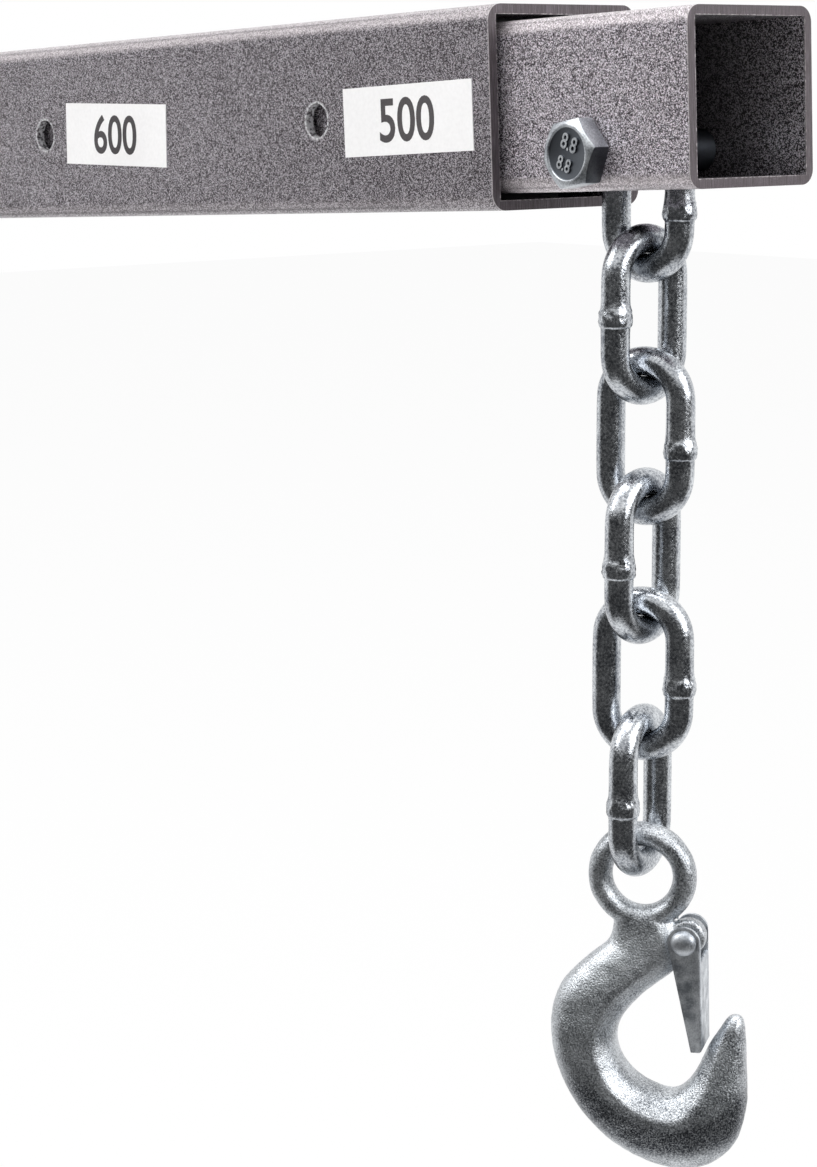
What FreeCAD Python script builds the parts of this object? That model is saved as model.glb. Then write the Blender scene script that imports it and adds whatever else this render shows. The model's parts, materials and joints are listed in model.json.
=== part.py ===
import FreeCAD, Part
import math
import os
import re
import Sketcher
from FreeCAD import Placement, Rotation, Vector

# Pickup truck crane: a base plate with a fixed post, a mast that turns on the post, a boom that a
# hand-pumped ram lifts, an extension that slides out of the boom, and a chain with a latched hook.
# Millimetres. The origin is the middle of the base plate's underside, on the mast's axis; +Z is up
# and +X points along the boom. Lengths are driving values, kept in the sheet under these names.

BASE_SIZES = {
    "base_side": 200.0,
    "base_thick": 10.0,
    "base_corner": 12.0,
    "base_bolt_spacing": 150.0,
    "base_bolt_hole": 13.5,
    "pedestal_diameter": 76.0,
    "pedestal_height": 65.0,
    "post_diameter": 50.0,
    "post_wall": 6.0,
    "post_height": 245.0,
    "gusset_thick": 8.0,
    "gusset_reach": 46.0,
    "gusset_height": 55.0,
    "gusset_toe": 8.0,
    "thrust_washer_thick": 4.0,
}

MAST_SIZES = {
    "foot_diameter": 92.0,
    "foot_thick": 8.0,
    "mast_side": 65.0,
    "mast_wall": 4.0,
    "mast_corner": 6.0,
    "pivot_height": 1040.0,
    "pivot_headroom": 58.0,
    "mast_cap_thick": 3.0,
    "bushing_height": 35.0,
    "bushing_chamfer": 3.0,
    "bushing_below_post_top": 5.0,
    "cheek_thick": 8.0,
    "cheek_width": 76.0,
    "cheek_drop": 160.0,
    "pivot_bolt_diameter": 16.0,
    "pivot_head_flats": 24.0,
    "pivot_head_thick": 10.0,
    "pivot_nut_thick": 14.0,
    "pivot_washer_diameter": 30.0,
    "pivot_washer_thick": 3.0,
    "bolt_tail": 4.0,
    "lock_screw_height": 160.0,
    "lock_screw_diameter": 12.0,
    "lock_screw_length": 66.0,
    "lock_screw_head_diameter": 20.0,
    "lock_screw_head_length": 20.0,
    "lock_boss_diameter": 28.0,
    "lock_boss_length": 14.0,
    "lock_bar_diameter": 8.0,
    "lock_bar_length": 84.0,
    "lock_bar_knob_diameter": 12.0,
    "lock_bar_knob_length": 6.0,
}

JACK_SIZES = {
    "jack_foot_forward": 80.0,
    "jack_foot_drop": 420.0,
    "jack_head_forward": 250.0,
    "jack_head_drop": 55.0,
    "bracket_plate_thick": 6.0,
    "bracket_plate_width": 60.0,
    "bracket_plate_height": 90.0,
    "bracket_ear_thick": 8.0,
    "bracket_ear_radius": 18.0,
    "foot_pin_diameter": 14.0,
    "jack_lug_width": 26.0,
    "jack_lug_radius": 17.0,
    "jack_block_bottom": 20.0,
    "jack_block_height": 26.0,
    "jack_block_inboard": 30.0,
    "jack_block_outboard": 76.0,
    "jack_block_width": 56.0,
    "jack_block_edge": 3.0,
    "cylinder_diameter": 50.0,
    "cylinder_wall": 4.0,
    "cylinder_length": 272.0,
    "pressure_tube_diameter": 36.0,
    "pressure_tube_wall": 3.0,
    "gland_skirt_diameter": 54.0,
    "gland_skirt_height": 8.0,
    "gland_flats": 48.0,
    "gland_flats_height": 14.0,
    "oil_plug_diameter": 9.0,
    "oil_plug_proud": 3.0,
    "oil_plug_rim": 1.5,
    "oil_plug_height": 240.0,
    "ram_diameter": 24.0,
    "ram_foot_height": 100.0,
    "piston_height": 20.0,
    "ram_eye_radius": 18.5,
    "ram_eye_width": 22.0,
    "ram_neck_length": 18.0,
    "ram_neck_clear": 3.0,
    "ram_neck_diameter": 32.0,
    "head_pin_diameter": 16.0,
    "closing_play": 5.5,
    "boom_ear_thick": 6.0,
    "boom_ear_radius": 20.0,
    "pin_head_thick": 5.0,
    "pin_head_rim": 4.0,
    "pin_washer_thick": 2.5,
    "pin_tail": 10.0,
    "cotter_diameter": 3.0,
    "cotter_proud": 5.0,
}

PUMP_SIZES = {
    "pump_post_forward": 34.0,
    "pump_pivot_height": 122.0,
    "pump_arm": 24.0,
    "pump_post_thick": 12.0,
    "pump_post_width": 13.4,
    "pump_cylinder_diameter": 26.0,
    "pump_cylinder_height": 44.0,
    "plunger_diameter": 13.0,
    "plunger_length": 50.0,
    "plunger_head_radius": 8.5,
    "plunger_play": 1.0,
    "pump_pin_diameter": 6.0,
    "fork_plate_thick": 3.0,
    "fork_boss_radius": 8.0,
    "fork_length": 45.0,
    "socket_diameter": 28.0,
    "socket_length": 66.0,
    "lever_diameter": 22.0,
    "lever_wall": 2.0,
    "lever_length": 275.0,
    "lever_start": 60.0,
    "grip_wall": 3.5,
    "grip_length": 110.0,
    "grip_cap": 4.0,
    "valve_diameter": 12.0,
    "valve_depth": 14.0,
    "valve_stem": 8.0,
    "valve_knob_diameter": 18.0,
    "valve_knob_length": 10.0,
    "valve_slot_width": 4.0,
    "valve_slot_depth": 5.0,
    "valve_aside": 16.0,
    "valve_above_block_bottom": 13.0,
}

BOOM_SIZES = {
    "boom_side": 60.0,
    "boom_wall": 3.0,
    "boom_corner": 5.0,
    "boom_reach": 874.0,
    "boom_tail": 40.0,
    "pivot_bush_diameter": 26.0,
    "tail_plug_lip": 3.0,
    "tail_plug_depth": 12.0,
    "pin_hole_diameter": 10.8,
    "pin_hole_pitch": 155.0,
    "pin_hole_setback": 81.8,
    "pin_hole_drop": 1.0,
    "label_length": 60.0,
    "label_height": 21.0,
    "label_thick": 0.3,
    "label_ahead": 44.0,
    "label_drop": 2.0,
    "stop_bolt_diameter": 8.0,
    "stop_bolt_flats": 13.0,
    "stop_bolt_head": 5.3,
    "stop_nut_thick": 6.5,
    "slide_pad_length": 26.0,
    "slide_pad_width": 30.0,
    "mouth_pad_setback": 20.0,
    "tail_pad_setback": 4.0,
    "lock_pin_diameter": 10.0,
    "lock_pin_length": 70.0,
    "lock_pin_head_diameter": 18.0,
    "lock_pin_head_thick": 5.0,
    "lock_pin_tail": 12.0,
    "lock_pin_tip_cone": 1.5,
    "pin_ring_radius": 13.0,
    "pin_ring_wire": 2.4,
    "pin_ring_hole": 4.8,
}

EXTENSION_SIZES = {
    "extension_side": 50.0,
    "extension_wall": 2.8,
    "extension_corner": 4.5,
    "extension_nose": 75.4,
    "extension_tail": 40.0,
    "hook_bolt_setback": 41.4,
    "hook_bolt_above_bottom": 10.9,
    "hook_bolt_diameter": 12.0,
    "hook_bolt_flats": 18.5,
    "hook_bolt_head": 7.5,
    "hook_nut_thick": 10.0,
    "hook_bolt_hole": 12.6,
    "chain_slot_ahead": 19.0,
    "chain_slot_behind": 31.0,
    "chain_slot_width": 14.0,
}

CHAIN_SIZES = {
    "link_wire": 8.7,
    "link_inside_length": 36.85,
    "link_outside_width": 31.5,
    "link_gap": 0.95,
    "weld_height": 4.0,
    "weld_proud": 0.5,
    "eye_outside": 31.5,
    "eye_bore": 17.8,
    "eye_thick": 10.0,
    "hook_length": 106.0,
    "latch_sheet": 1.5,
    "latch_inside": 13.0,
    "latch_length": 34.2,
    "latch_pivot_side": 15.2,
    "latch_pivot_drop": 18.4,
    "latch_root_width": 10.0,
    "latch_tip_width": 3.4,
    "latch_above_pivot": 6.9,
    "latch_web_start": 4.0,
    "rivet_diameter": 4.6,
    "rivet_head_diameter": 8.0,
    "rivet_head_thick": 2.0,
    "latch_lug_radius": 5.0,
    "latch_lug_width": 5.2,
    "spring_wire": 1.0,
    "spring_pitch": 1.42,
    "spring_coil_radius": 2.95,
    "spring_leg": 2.4,
}

FITS = {
    "running_gap": 0.08,
    "flat_gap": 0.3,
    "turning_gap": 0.4,
    "loose_hole": 0.25,
    "overrun": 5.0,
}

PIN_HOLES = 4
SPRING_TURNS = 1.25
BOOM_RISE_DEGREES = 2.5
PUMP_REST_DEGREES = 17.5
LEVER_OVER_ARM_DEGREES = 47.5
LABEL_TILT_DEGREES = [0.6, -2.6, 0.8, -1.1]
GUSSET_DEGREES = [45, 135, 225, 315]
LINK_TWIST_DEGREES = [9, 88, 19, 97, 28, 108]
HOOK_TWIST_DEGREES = 34
LATCH_LEAN_DEGREES = 1.4
SPRING_POINTS_PER_TURN = 48

# Outlines of the two bent sheets. The handle's fork is given in boss radii beyond its two pins, with
# the share of the socket's radius that it has where it meets the socket; the latch's side plate is
# given in shares of half its root's width, then of its length.
FORK_REAR_SHARES = (-0.9, 0.4, -0.3)
FORK_ARM_SHARES = [(1.0, -0.3), (0.3, -0.9), (-0.6, -0.7)]
FORK_SOCKET_SHARE = 0.9
LATCH_BACK_SHARES = [(-0.4, -0.5), (-1.0, -0.167), (-1.0, 0.103), (-0.7, 0.207)]

# The forged hook: for each section the inside and the outside of the bend, across and down from the
# middle of its eye, and how thick the forging is there, all as shares of the hook's whole length.
# The bend runs from the eye to the widest reach of the bowl, and the point goes on from there.
HOOK_BEND_SHARES = [
    ((0.080, -0.120), (-0.080, -0.120), 0.104),
    ((0.132, -0.178), (-0.100, -0.200), 0.120),
    ((0.086, -0.268), (-0.178, -0.262), 0.140),
    ((0.010, -0.338), (-0.240, -0.345), 0.160),
    ((-0.064, -0.424), (-0.262, -0.443), 0.168),
    ((-0.070, -0.500), (-0.247, -0.542), 0.174),
    ((-0.043, -0.556), (-0.189, -0.674), 0.180),
    ((0.005, -0.600), (-0.090, -0.777), 0.184),
    ((0.052, -0.618), (0.028, -0.836), 0.188),
    ((0.099, -0.617), (0.151, -0.857), 0.186),
    ((0.128, -0.600), (0.268, -0.782), 0.174),
    ((0.152, -0.565), (0.305, -0.682), 0.156),
]
HOOK_POINT_SHARES = [
    ((0.178, -0.518), (0.303, -0.575), 0.134),
    ((0.206, -0.470), (0.293, -0.485), 0.086),
    ((0.238, -0.432), (0.284, -0.428), 0.045),
]

doc = FreeCAD.newDocument("PickupTruckCrane")
sheet = doc.addObject("Spreadsheet::Sheet", "Sizes")
row = 0
tables = [BASE_SIZES, MAST_SIZES, JACK_SIZES, PUMP_SIZES, BOOM_SIZES, EXTENSION_SIZES, CHAIN_SIZES, FITS]
for table in tables:
    for alias, value in table.items():
        row += 1
        sheet.set("A%d" % row, alias)
        sheet.set("B%d" % row, str(value))
        sheet.setAlias("B%d" % row, alias)
doc.recompute()


class Sheet:
    """Reads a driving value by its alias, so that places follow the same cells as sizes."""

    def __getattr__(self, alias):
        return float(sheet.get(alias))


S = Sheet()
ALONG_X = Rotation(Vector(0, 1, 0), 90)
ALONG_Y = Rotation(Vector(1, 0, 0), -90)
UPRIGHT = Rotation()
subparts = []


def cells(text):
    """The expression with every alias read from the sheet."""
    return re.sub(r"[a-z][a-z_]+", lambda word: "Sizes." + word.group(0), text)


def bind(obj, **sizes):
    for name, text in sizes.items():
        obj.setExpression(name, cells(text))
    return obj


def put(obj, at, turn):
    obj.Placement = Placement(Vector(*at), turn)
    return obj


def block(long, wide, tall, at, turn=UPRIGHT):
    """A box from its lowest corner."""
    box = bind(doc.addObject("Part::Box", "Block"), Length=long, Width=wide, Height=tall)
    return put(box, at, turn)


def rod(radius, length, at, turn=UPRIGHT):
    """A cylinder from the middle of its first end."""
    return put(bind(doc.addObject("Part::Cylinder", "Rod"), Radius=radius, Height=length), at, turn)


def hexagon(flats, thick, at, turn):
    """A hexagonal head or nut from the middle of its seat."""
    prism = doc.addObject("Part::Prism", "Hexagon")
    prism.Polygon = 6
    bind(prism, Circumradius="%s / %.6f" % (flats, math.sqrt(3)), Height=thick)
    return put(prism, at, turn)


def fuse(*pieces):
    joined = doc.addObject("Part::MultiFuse", "Joined")
    joined.Shapes = list(pieces)
    joined.Refine = True
    return joined


def cut(piece, *tools):
    rest = doc.addObject("Part::Cut", "Rest")
    rest.Base = piece
    rest.Tool = tools[0] if len(tools) == 1 else fuse(*tools)
    rest.Refine = True
    return rest


def group(*pieces):
    together = doc.addObject("Part::Compound", "Group")
    together.Links = list(pieces)
    return together


def origin_plane(body, role):
    return next(plane for plane in body.Origin.OriginFeatures if plane.Role == role)


def sketch_on(body, role, name):
    sketch = body.newObject("Sketcher::SketchObject", name)
    sketch.AttachmentSupport = [(origin_plane(body, role), "")]
    sketch.MapMode = "FlatFace"
    return sketch


def centred_rectangle(sketch, wide, tall):
    """A rectangle about the sketch's origin, with both its sizes bound to the sheet."""
    corners = [Vector(-1, -1, 0), Vector(1, -1, 0), Vector(1, 1, 0), Vector(-1, 1, 0)]
    drawn = corners[2] - corners[0]
    first = sketch.GeometryCount
    for n in range(4):
        sketch.addGeometry(Part.LineSegment(corners[n], corners[(n + 1) % 4]), False)
    for n in range(4):
        sketch.addConstraint(Sketcher.Constraint("Coincident", first + n, 2, first + (n + 1) % 4, 1))
    sketch.addConstraint(Sketcher.Constraint("Horizontal", first))
    sketch.addConstraint(Sketcher.Constraint("Horizontal", first + 2))
    sketch.addConstraint(Sketcher.Constraint("Vertical", first + 1))
    sketch.addConstraint(Sketcher.Constraint("Vertical", first + 3))
    sketch.addConstraint(Sketcher.Constraint("Symmetric", first, 1, first + 1, 2, -1, 1))
    across = sketch.addConstraint(Sketcher.Constraint("DistanceX", first, 1, first, 2, drawn.x))
    upward = sketch.addConstraint(Sketcher.Constraint("DistanceY", first + 1, 1, first + 1, 2, drawn.y))
    sketch.setExpression("Constraints[%d]" % across, cells(wide))
    sketch.setExpression("Constraints[%d]" % upward, cells(tall))


def edges_along(shape, axis):
    """The names of a shape's straight edges that run along an axis."""
    names = []
    for n, edge in enumerate(shape.Edges):
        run = edge.Vertexes[-1].Point - edge.Vertexes[0].Point
        if run.cross(axis).Length < 0.001 * run.Length:
            names.append("Edge%d" % (n + 1))
    return names


def square_tube(name, plane, axis, side, wall, corner, length):
    """A tube of square section with rounded corners, padded from one of its own origin planes."""
    body = doc.addObject("PartDesign::Body", name)
    outside = sketch_on(body, plane, "Outside")
    centred_rectangle(outside, side, side)
    pad = body.newObject("PartDesign::Pad", "Bar")
    pad.Profile = outside
    bind(pad, Length=length)
    doc.recompute()
    rounded = body.newObject("PartDesign::Fillet", "Corners")
    rounded.Base = (pad, edges_along(pad.Shape, axis))
    bind(rounded, Radius=corner)
    doc.recompute()
    inside = sketch_on(body, plane, "Inside")
    centred_rectangle(inside, "%s - 2 * %s" % (side, wall), "%s - 2 * %s" % (side, wall))
    bore = body.newObject("PartDesign::Pocket", "Bore")
    bore.Profile = inside
    bore.Type = 1
    bore.Reversed = True
    doc.recompute()
    assert bore.Shape.Volume < 0.5 * rounded.Shape.Volume
    return body


def drill(body, radius, length, at, turn):
    hole = body.newObject("PartDesign::SubtractiveCylinder", "Hole")
    bind(hole, Radius=radius, Height=length)
    put(hole, at, turn)
    doc.recompute()


def slot_out(body, long, wide, tall, at):
    slot = body.newObject("PartDesign::SubtractiveBox", "Slot")
    bind(slot, Length=long, Width=wide, Height=tall)
    put(slot, at, UPRIGHT)
    doc.recompute()


def plate(name, outline, thick, holes=()):
    """A flat plate in the XZ plane, as thick each side of it: its outline's points, and its holes."""
    body = doc.addObject("PartDesign::Body", name)
    sketch = sketch_on(body, "XZ_Plane", "Outline")
    count = len(outline)
    for n in range(count):
        a, b = outline[n], outline[(n + 1) % count]
        sketch.addGeometry(Part.LineSegment(Vector(a[0], a[1], 0), Vector(b[0], b[1], 0)), False)
    for n in range(count):
        sketch.addConstraint(Sketcher.Constraint("Coincident", n, 2, (n + 1) % count, 1))
    for x, y, radius in holes:
        sketch.addGeometry(Part.Circle(Vector(x, y, 0), Vector(0, 0, 1), radius), False)
    pad = body.newObject("PartDesign::Pad", "Sheet")
    pad.Profile = sketch
    pad.Midplane = True
    bind(pad, Length=thick)
    doc.recompute()
    return body


def place(piece, label, frame=Placement()):
    """Names a finished sub-part and sets it in the crane."""
    doc.recompute()
    piece.Placement = frame.multiply(piece.Placement)
    piece.Label = label
    subparts.append(piece)
    return piece


def up(x=0.0, y=0.0, z=0.0, turn=UPRIGHT):
    """A shift, and a turn if one is given."""
    return Placement(Vector(x, y, z), turn)


def about_y(degrees):
    return Rotation(Vector(0, 1, 0), degrees)


def washer(outside, bore, thick, at, turn=UPRIGHT):
    return cut(rod(outside, thick, at, turn), rod(bore, thick, at, turn))


def hex_bolt(flats, head, shank, length, seat):
    """A bolt along +Y whose head sits against a seat that faces -Y."""
    x, y, z = seat
    head_at = (x, y - getattr(S, head), z)
    return fuse(hexagon(flats, head, head_at, ALONG_Y), rod(shank, length, seat, ALONG_Y))


def hex_nut(flats, thick, bore, seat):
    return cut(hexagon(flats, thick, seat, ALONG_Y), rod(bore, thick, seat, ALONG_Y))


# Base: plate, pedestal, gussets, post and the washer that the mast turns on

post_radius = S.post_diameter / 2
pedestal_top = S.base_thick + S.pedestal_height
post_top = S.base_thick + S.post_height

base = doc.addObject("PartDesign::Body", "BasePlate")
base_outline = sketch_on(base, "XY_Plane", "Outline")
centred_rectangle(base_outline, "base_side", "base_side")
base_pad = base.newObject("PartDesign::Pad", "Plate")
base_pad.Profile = base_outline
bind(base_pad, Length="base_thick")
doc.recompute()
base_corners = base.newObject("PartDesign::Fillet", "Corners")
base_corners.Base = (base_pad, edges_along(base_pad.Shape, Vector(0, 0, 1)))
bind(base_corners, Radius="base_corner")
doc.recompute()
for x_side in (-1, 1):
    for y_side in (-1, 1):
        hole_at = (x_side * S.base_bolt_spacing / 2, y_side * S.base_bolt_spacing / 2, -S.overrun)
        drill(base, "base_bolt_hole / 2", "base_thick + 2 * overrun", hole_at, UPRIGHT)
place(base, "base_plate")

pedestal = washer("pedestal_diameter / 2", "post_diameter / 2", "pedestal_height", (0, 0, S.base_thick))
place(pedestal, "base_pedestal")

gussets = []
inside_pedestal = S.pedestal_diameter / 4
toe = S.pedestal_diameter / 2 + S.gusset_reach
gusset_outline = [
    (inside_pedestal, 0),
    (toe, 0),
    (toe, S.gusset_toe),
    (S.pedestal_diameter / 2 + S.gusset_toe, S.gusset_height),
    (inside_pedestal, S.gusset_height),
]
for degrees in GUSSET_DEGREES:
    web = plate("Gusset", gusset_outline, "gusset_thick")
    web.Placement = up(z=S.base_thick, turn=Rotation(Vector(0, 0, 1), degrees))
    core_at = (0, 0, S.base_thick - S.overrun)
    core = rod("pedestal_diameter / 2", "gusset_height + 2 * overrun", core_at)
    gussets.append(cut(web, core))
place(group(*gussets), "base_gussets")

post = washer("post_diameter / 2", "post_diameter / 2 - post_wall", "post_height", (0, 0, S.base_thick))
place(post, "swivel_post")

thrust = washer(
    "pedestal_diameter / 2", "post_diameter / 2 + turning_gap", "thrust_washer_thick", (0, 0, pedestal_top)
)
place(thrust, "thrust_washer")

# Mast: foot, tube, bushings, cap, cheeks and the pivot bolt

foot_bottom = pedestal_top + S.thrust_washer_thick + S.flat_gap
mast_bottom = foot_bottom + S.foot_thick
mast_top = S.pivot_height - S.pivot_headroom - S.mast_cap_thick
mast_half = S.mast_side / 2
mast_length = "pivot_height - pivot_headroom - mast_cap_thick - base_thick - pedestal_height"
mast_length += " - thrust_washer_thick - flat_gap - foot_thick"

foot = washer("foot_diameter / 2", "post_diameter / 2 + turning_gap", "foot_thick", (0, 0, foot_bottom))
place(foot, "mast_foot")

mast = square_tube("Mast", "XY_Plane", Vector(0, 0, 1), "mast_side", "mast_wall", "mast_corner", mast_length)
lock_at = (-mast_half - S.overrun, 0, S.lock_screw_height - mast_bottom)
drill(mast, "lock_screw_diameter / 2 + running_gap", "mast_wall + 2 * overrun", lock_at, ALONG_X)
place(mast, "mast_tube", up(z=mast_bottom))

bushings = []
bushing_side = "mast_side - 2 * mast_wall"
for bottom in (mast_bottom, post_top - S.bushing_below_post_top - S.bushing_height):
    body = doc.addObject("PartDesign::Body", "Bushing")
    outline = sketch_on(body, "XY_Plane", "Outline")
    centred_rectangle(outline, bushing_side, bushing_side)
    bar = body.newObject("PartDesign::Pad", "Bar")
    bar.Profile = outline
    bind(bar, Length="bushing_height")
    doc.recompute()
    bevels = body.newObject("PartDesign::Chamfer", "Bevels")
    bevels.Base = (bar, edges_along(bar.Shape, Vector(0, 0, 1)))
    bind(bevels, Size="bushing_chamfer")
    doc.recompute()
    bore_at = (0, 0, -S.overrun)
    drill(body, "post_diameter / 2 + running_gap", "bushing_height + 2 * overrun", bore_at, UPRIGHT)
    body.Placement = up(z=bottom)
    bushings.append(body)
place(group(*bushings), "mast_bushings")

mast_cap = block("mast_side", "mast_side", "mast_cap_thick", (-mast_half, -mast_half, mast_top))
place(mast_cap, "mast_cap")

cheeks = []
cheek_foot = S.pivot_height - S.cheek_drop
for inside in (-mast_half - S.cheek_thick, mast_half):
    flat = block("cheek_width", "cheek_thick", "cheek_drop", (-S.cheek_width / 2, inside, cheek_foot))
    crown = rod("cheek_width / 2", "cheek_thick", (0, inside, S.pivot_height), ALONG_Y)
    bore = rod("pivot_bolt_diameter / 2 + loose_hole", "cheek_thick", (0, inside, S.pivot_height), ALONG_Y)
    cheeks.append(cut(fuse(flat, crown), bore))
place(group(*cheeks), "mast_cheeks")

cheek_face = mast_half + S.cheek_thick
pivot_seat = cheek_face + S.pivot_washer_thick
pivot_length = "mast_side + 2 * cheek_thick + 2 * pivot_washer_thick + pivot_nut_thick + bolt_tail"
pivot_bolt = hex_bolt(
    "pivot_head_flats",
    "pivot_head_thick",
    "pivot_bolt_diameter / 2",
    pivot_length,
    (0, -pivot_seat, S.pivot_height),
)
place(pivot_bolt, "pivot_bolt")
pivot_nut = hex_nut(
    "pivot_head_flats", "pivot_nut_thick", "pivot_bolt_diameter / 2", (0, pivot_seat, S.pivot_height)
)
place(pivot_nut, "pivot_nut")
pivot_washers = [
    washer(
        "pivot_washer_diameter / 2",
        "pivot_bolt_diameter / 2",
        "pivot_washer_thick",
        (0, y, S.pivot_height),
        ALONG_Y,
    )
    for y in (-pivot_seat, cheek_face)
]
place(group(*pivot_washers), "pivot_washers")

# The screw that clamps the mast to the post, with its sliding bar

boss_at = (-mast_half - S.lock_boss_length, 0, S.lock_screw_height)
lock_boss = cut(
    rod("lock_boss_diameter / 2", "lock_boss_length", boss_at, ALONG_X),
    rod("lock_screw_diameter / 2 + running_gap", "lock_boss_length", boss_at, ALONG_X),
)
place(lock_boss, "lock_screw_boss")

screw_tip = -post_radius - S.flat_gap
screw_end = screw_tip - S.lock_screw_length
head_middle = screw_end + S.lock_screw_head_length / 2
lock_screw = cut(
    fuse(
        rod("lock_screw_diameter / 2", "lock_screw_length", (screw_end, 0, S.lock_screw_height), ALONG_X),
        rod(
            "lock_screw_head_diameter / 2",
            "lock_screw_head_length",
            (screw_end, 0, S.lock_screw_height),
            ALONG_X,
        ),
    ),
    rod(
        "lock_bar_diameter / 2 + running_gap",
        "lock_screw_head_diameter + 2 * overrun",
        (head_middle, -S.lock_screw_head_diameter / 2 - S.overrun, S.lock_screw_height),
        ALONG_Y,
    ),
)
place(lock_screw, "mast_lock_screw")
bar_end = S.lock_bar_length / 2
lock_bar = fuse(
    rod("lock_bar_diameter / 2", "lock_bar_length", (head_middle, -bar_end, S.lock_screw_height), ALONG_Y),
    rod(
        "lock_bar_knob_diameter / 2",
        "lock_bar_knob_length",
        (head_middle, -bar_end, S.lock_screw_height),
        ALONG_Y,
    ),
    rod(
        "lock_bar_knob_diameter / 2",
        "lock_bar_knob_length",
        (head_middle, bar_end - S.lock_bar_knob_length, S.lock_screw_height),
        ALONG_Y,
    ),
)
place(lock_bar, "lock_screw_bar")

# Boom: its frame, tube, pivot bush, ears and plug

BOOM = Placement(Vector(0, 0, S.pivot_height), about_y(-BOOM_RISE_DEGREES))
boom_half = S.boom_side / 2
boom_inside = boom_half - S.boom_wall
hole_places = [S.boom_reach - S.pin_hole_setback - n * S.pin_hole_pitch for n in range(PIN_HOLES)]
extension_rear = hole_places[-1] - S.extension_tail
extension_tip = S.boom_reach + S.extension_nose
stop_at = extension_rear - S.flat_gap - S.stop_bolt_diameter / 2

boom = square_tube(
    "Boom", "YZ_Plane", Vector(1, 0, 0), "boom_side", "boom_wall", "boom_corner", "boom_reach + boom_tail"
)
through_boom = "boom_side + 2 * overrun"
for x in hole_places:
    drill(
        boom,
        "pin_hole_diameter / 2",
        through_boom,
        (x + S.boom_tail, -boom_half - S.overrun, -S.pin_hole_drop),
        ALONG_Y,
    )
drill(boom, "pivot_bush_diameter / 2", through_boom, (S.boom_tail, -boom_half - S.overrun, 0), ALONG_Y)
drill(
    boom,
    "stop_bolt_diameter / 2 + loose_hole",
    through_boom,
    (stop_at + S.boom_tail, -boom_half - S.overrun, 0),
    ALONG_Y,
)
place(boom, "boom_tube", BOOM.multiply(up(x=-S.boom_tail)))

bush_start = -mast_half + S.flat_gap
bush = washer(
    "pivot_bush_diameter / 2",
    "pivot_bolt_diameter / 2 + running_gap",
    "mast_side - 2 * flat_gap",
    (0, bush_start, 0),
    ALONG_Y,
)
place(bush, "boom_pivot_bush", BOOM)

plug_half = boom_inside - S.running_gap
tail_plug = fuse(
    block(
        "tail_plug_lip", "boom_side", "boom_side", (-S.boom_tail - S.tail_plug_lip, -boom_half, -boom_half)
    ),
    block(
        "tail_plug_depth",
        "boom_side - 2 * boom_wall - 2 * running_gap",
        "boom_side - 2 * boom_wall - 2 * running_gap",
        (-S.boom_tail, -plug_half, -plug_half),
    ),
)
place(tail_plug, "boom_tail_plug", BOOM)

ears = []
ear_gap_half = S.ram_eye_width / 2 + S.flat_gap
for y in (-ear_gap_half - S.boom_ear_thick, ear_gap_half):
    corner = (S.jack_head_forward - S.boom_ear_radius, y, -S.jack_head_drop)
    middle = (S.jack_head_forward, y, -S.jack_head_drop)
    upper = block("2 * boom_ear_radius", "boom_ear_thick", "jack_head_drop - boom_side / 2", corner)
    lower = rod("boom_ear_radius", "boom_ear_thick", middle, ALONG_Y)
    bore = rod("head_pin_diameter / 2 + running_gap", "boom_ear_thick", middle, ALONG_Y)
    ears.append(cut(fuse(upper, lower), bore))
place(group(*ears), "boom_jack_ears", BOOM)

stop_bolt = hex_bolt(
    "stop_bolt_flats",
    "stop_bolt_head",
    "stop_bolt_diameter / 2",
    "boom_side + stop_nut_thick + bolt_tail / 2",
    (stop_at, -boom_half, 0),
)
place(stop_bolt, "extension_stop_bolt", BOOM)
stop_nut = hex_nut("stop_bolt_flats", "stop_nut_thick", "stop_bolt_diameter / 2", (stop_at, boom_half, 0))
place(stop_nut, "extension_stop_nut", BOOM)


def slide_pads(start, seat, outward):
    """Four pads round a tube, on the faces that are seat from its middle, growing outward or inward."""
    tall = "boom_side / 2 - boom_wall - extension_side / 2 - flat_gap"
    low = seat if outward > 0 else seat - (boom_inside - S.extension_side / 2 - S.flat_gap)
    pads = []
    for degrees in (0, 90, 180, 270):
        pad = block("slide_pad_length", "slide_pad_width", tall, (start, -S.slide_pad_width / 2, low))
        pad.Placement = Placement(Vector(), Rotation(Vector(1, 0, 0), degrees)).multiply(pad.Placement)
        pads.append(pad)
    return group(*pads)


mouth_pads_at = S.boom_reach - S.mouth_pad_setback - S.slide_pad_length
place(slide_pads(mouth_pads_at, boom_inside, -1), "mouth_slide_pads", BOOM)

labels = []
for x, tilt in zip(hole_places, LABEL_TILT_DEGREES):
    card = block(
        "label_length",
        "label_thick",
        "label_height",
        (-S.label_length / 2, -boom_half - S.label_thick, -S.label_height / 2),
    )
    card.Placement = up(x + S.label_ahead, 0, -S.label_drop, about_y(-tilt)).multiply(card.Placement)
    labels.append(card)
place(group(*labels), "rating_labels", BOOM)

# Extension: tube, pads, and the bolt that the chain hangs on

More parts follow.
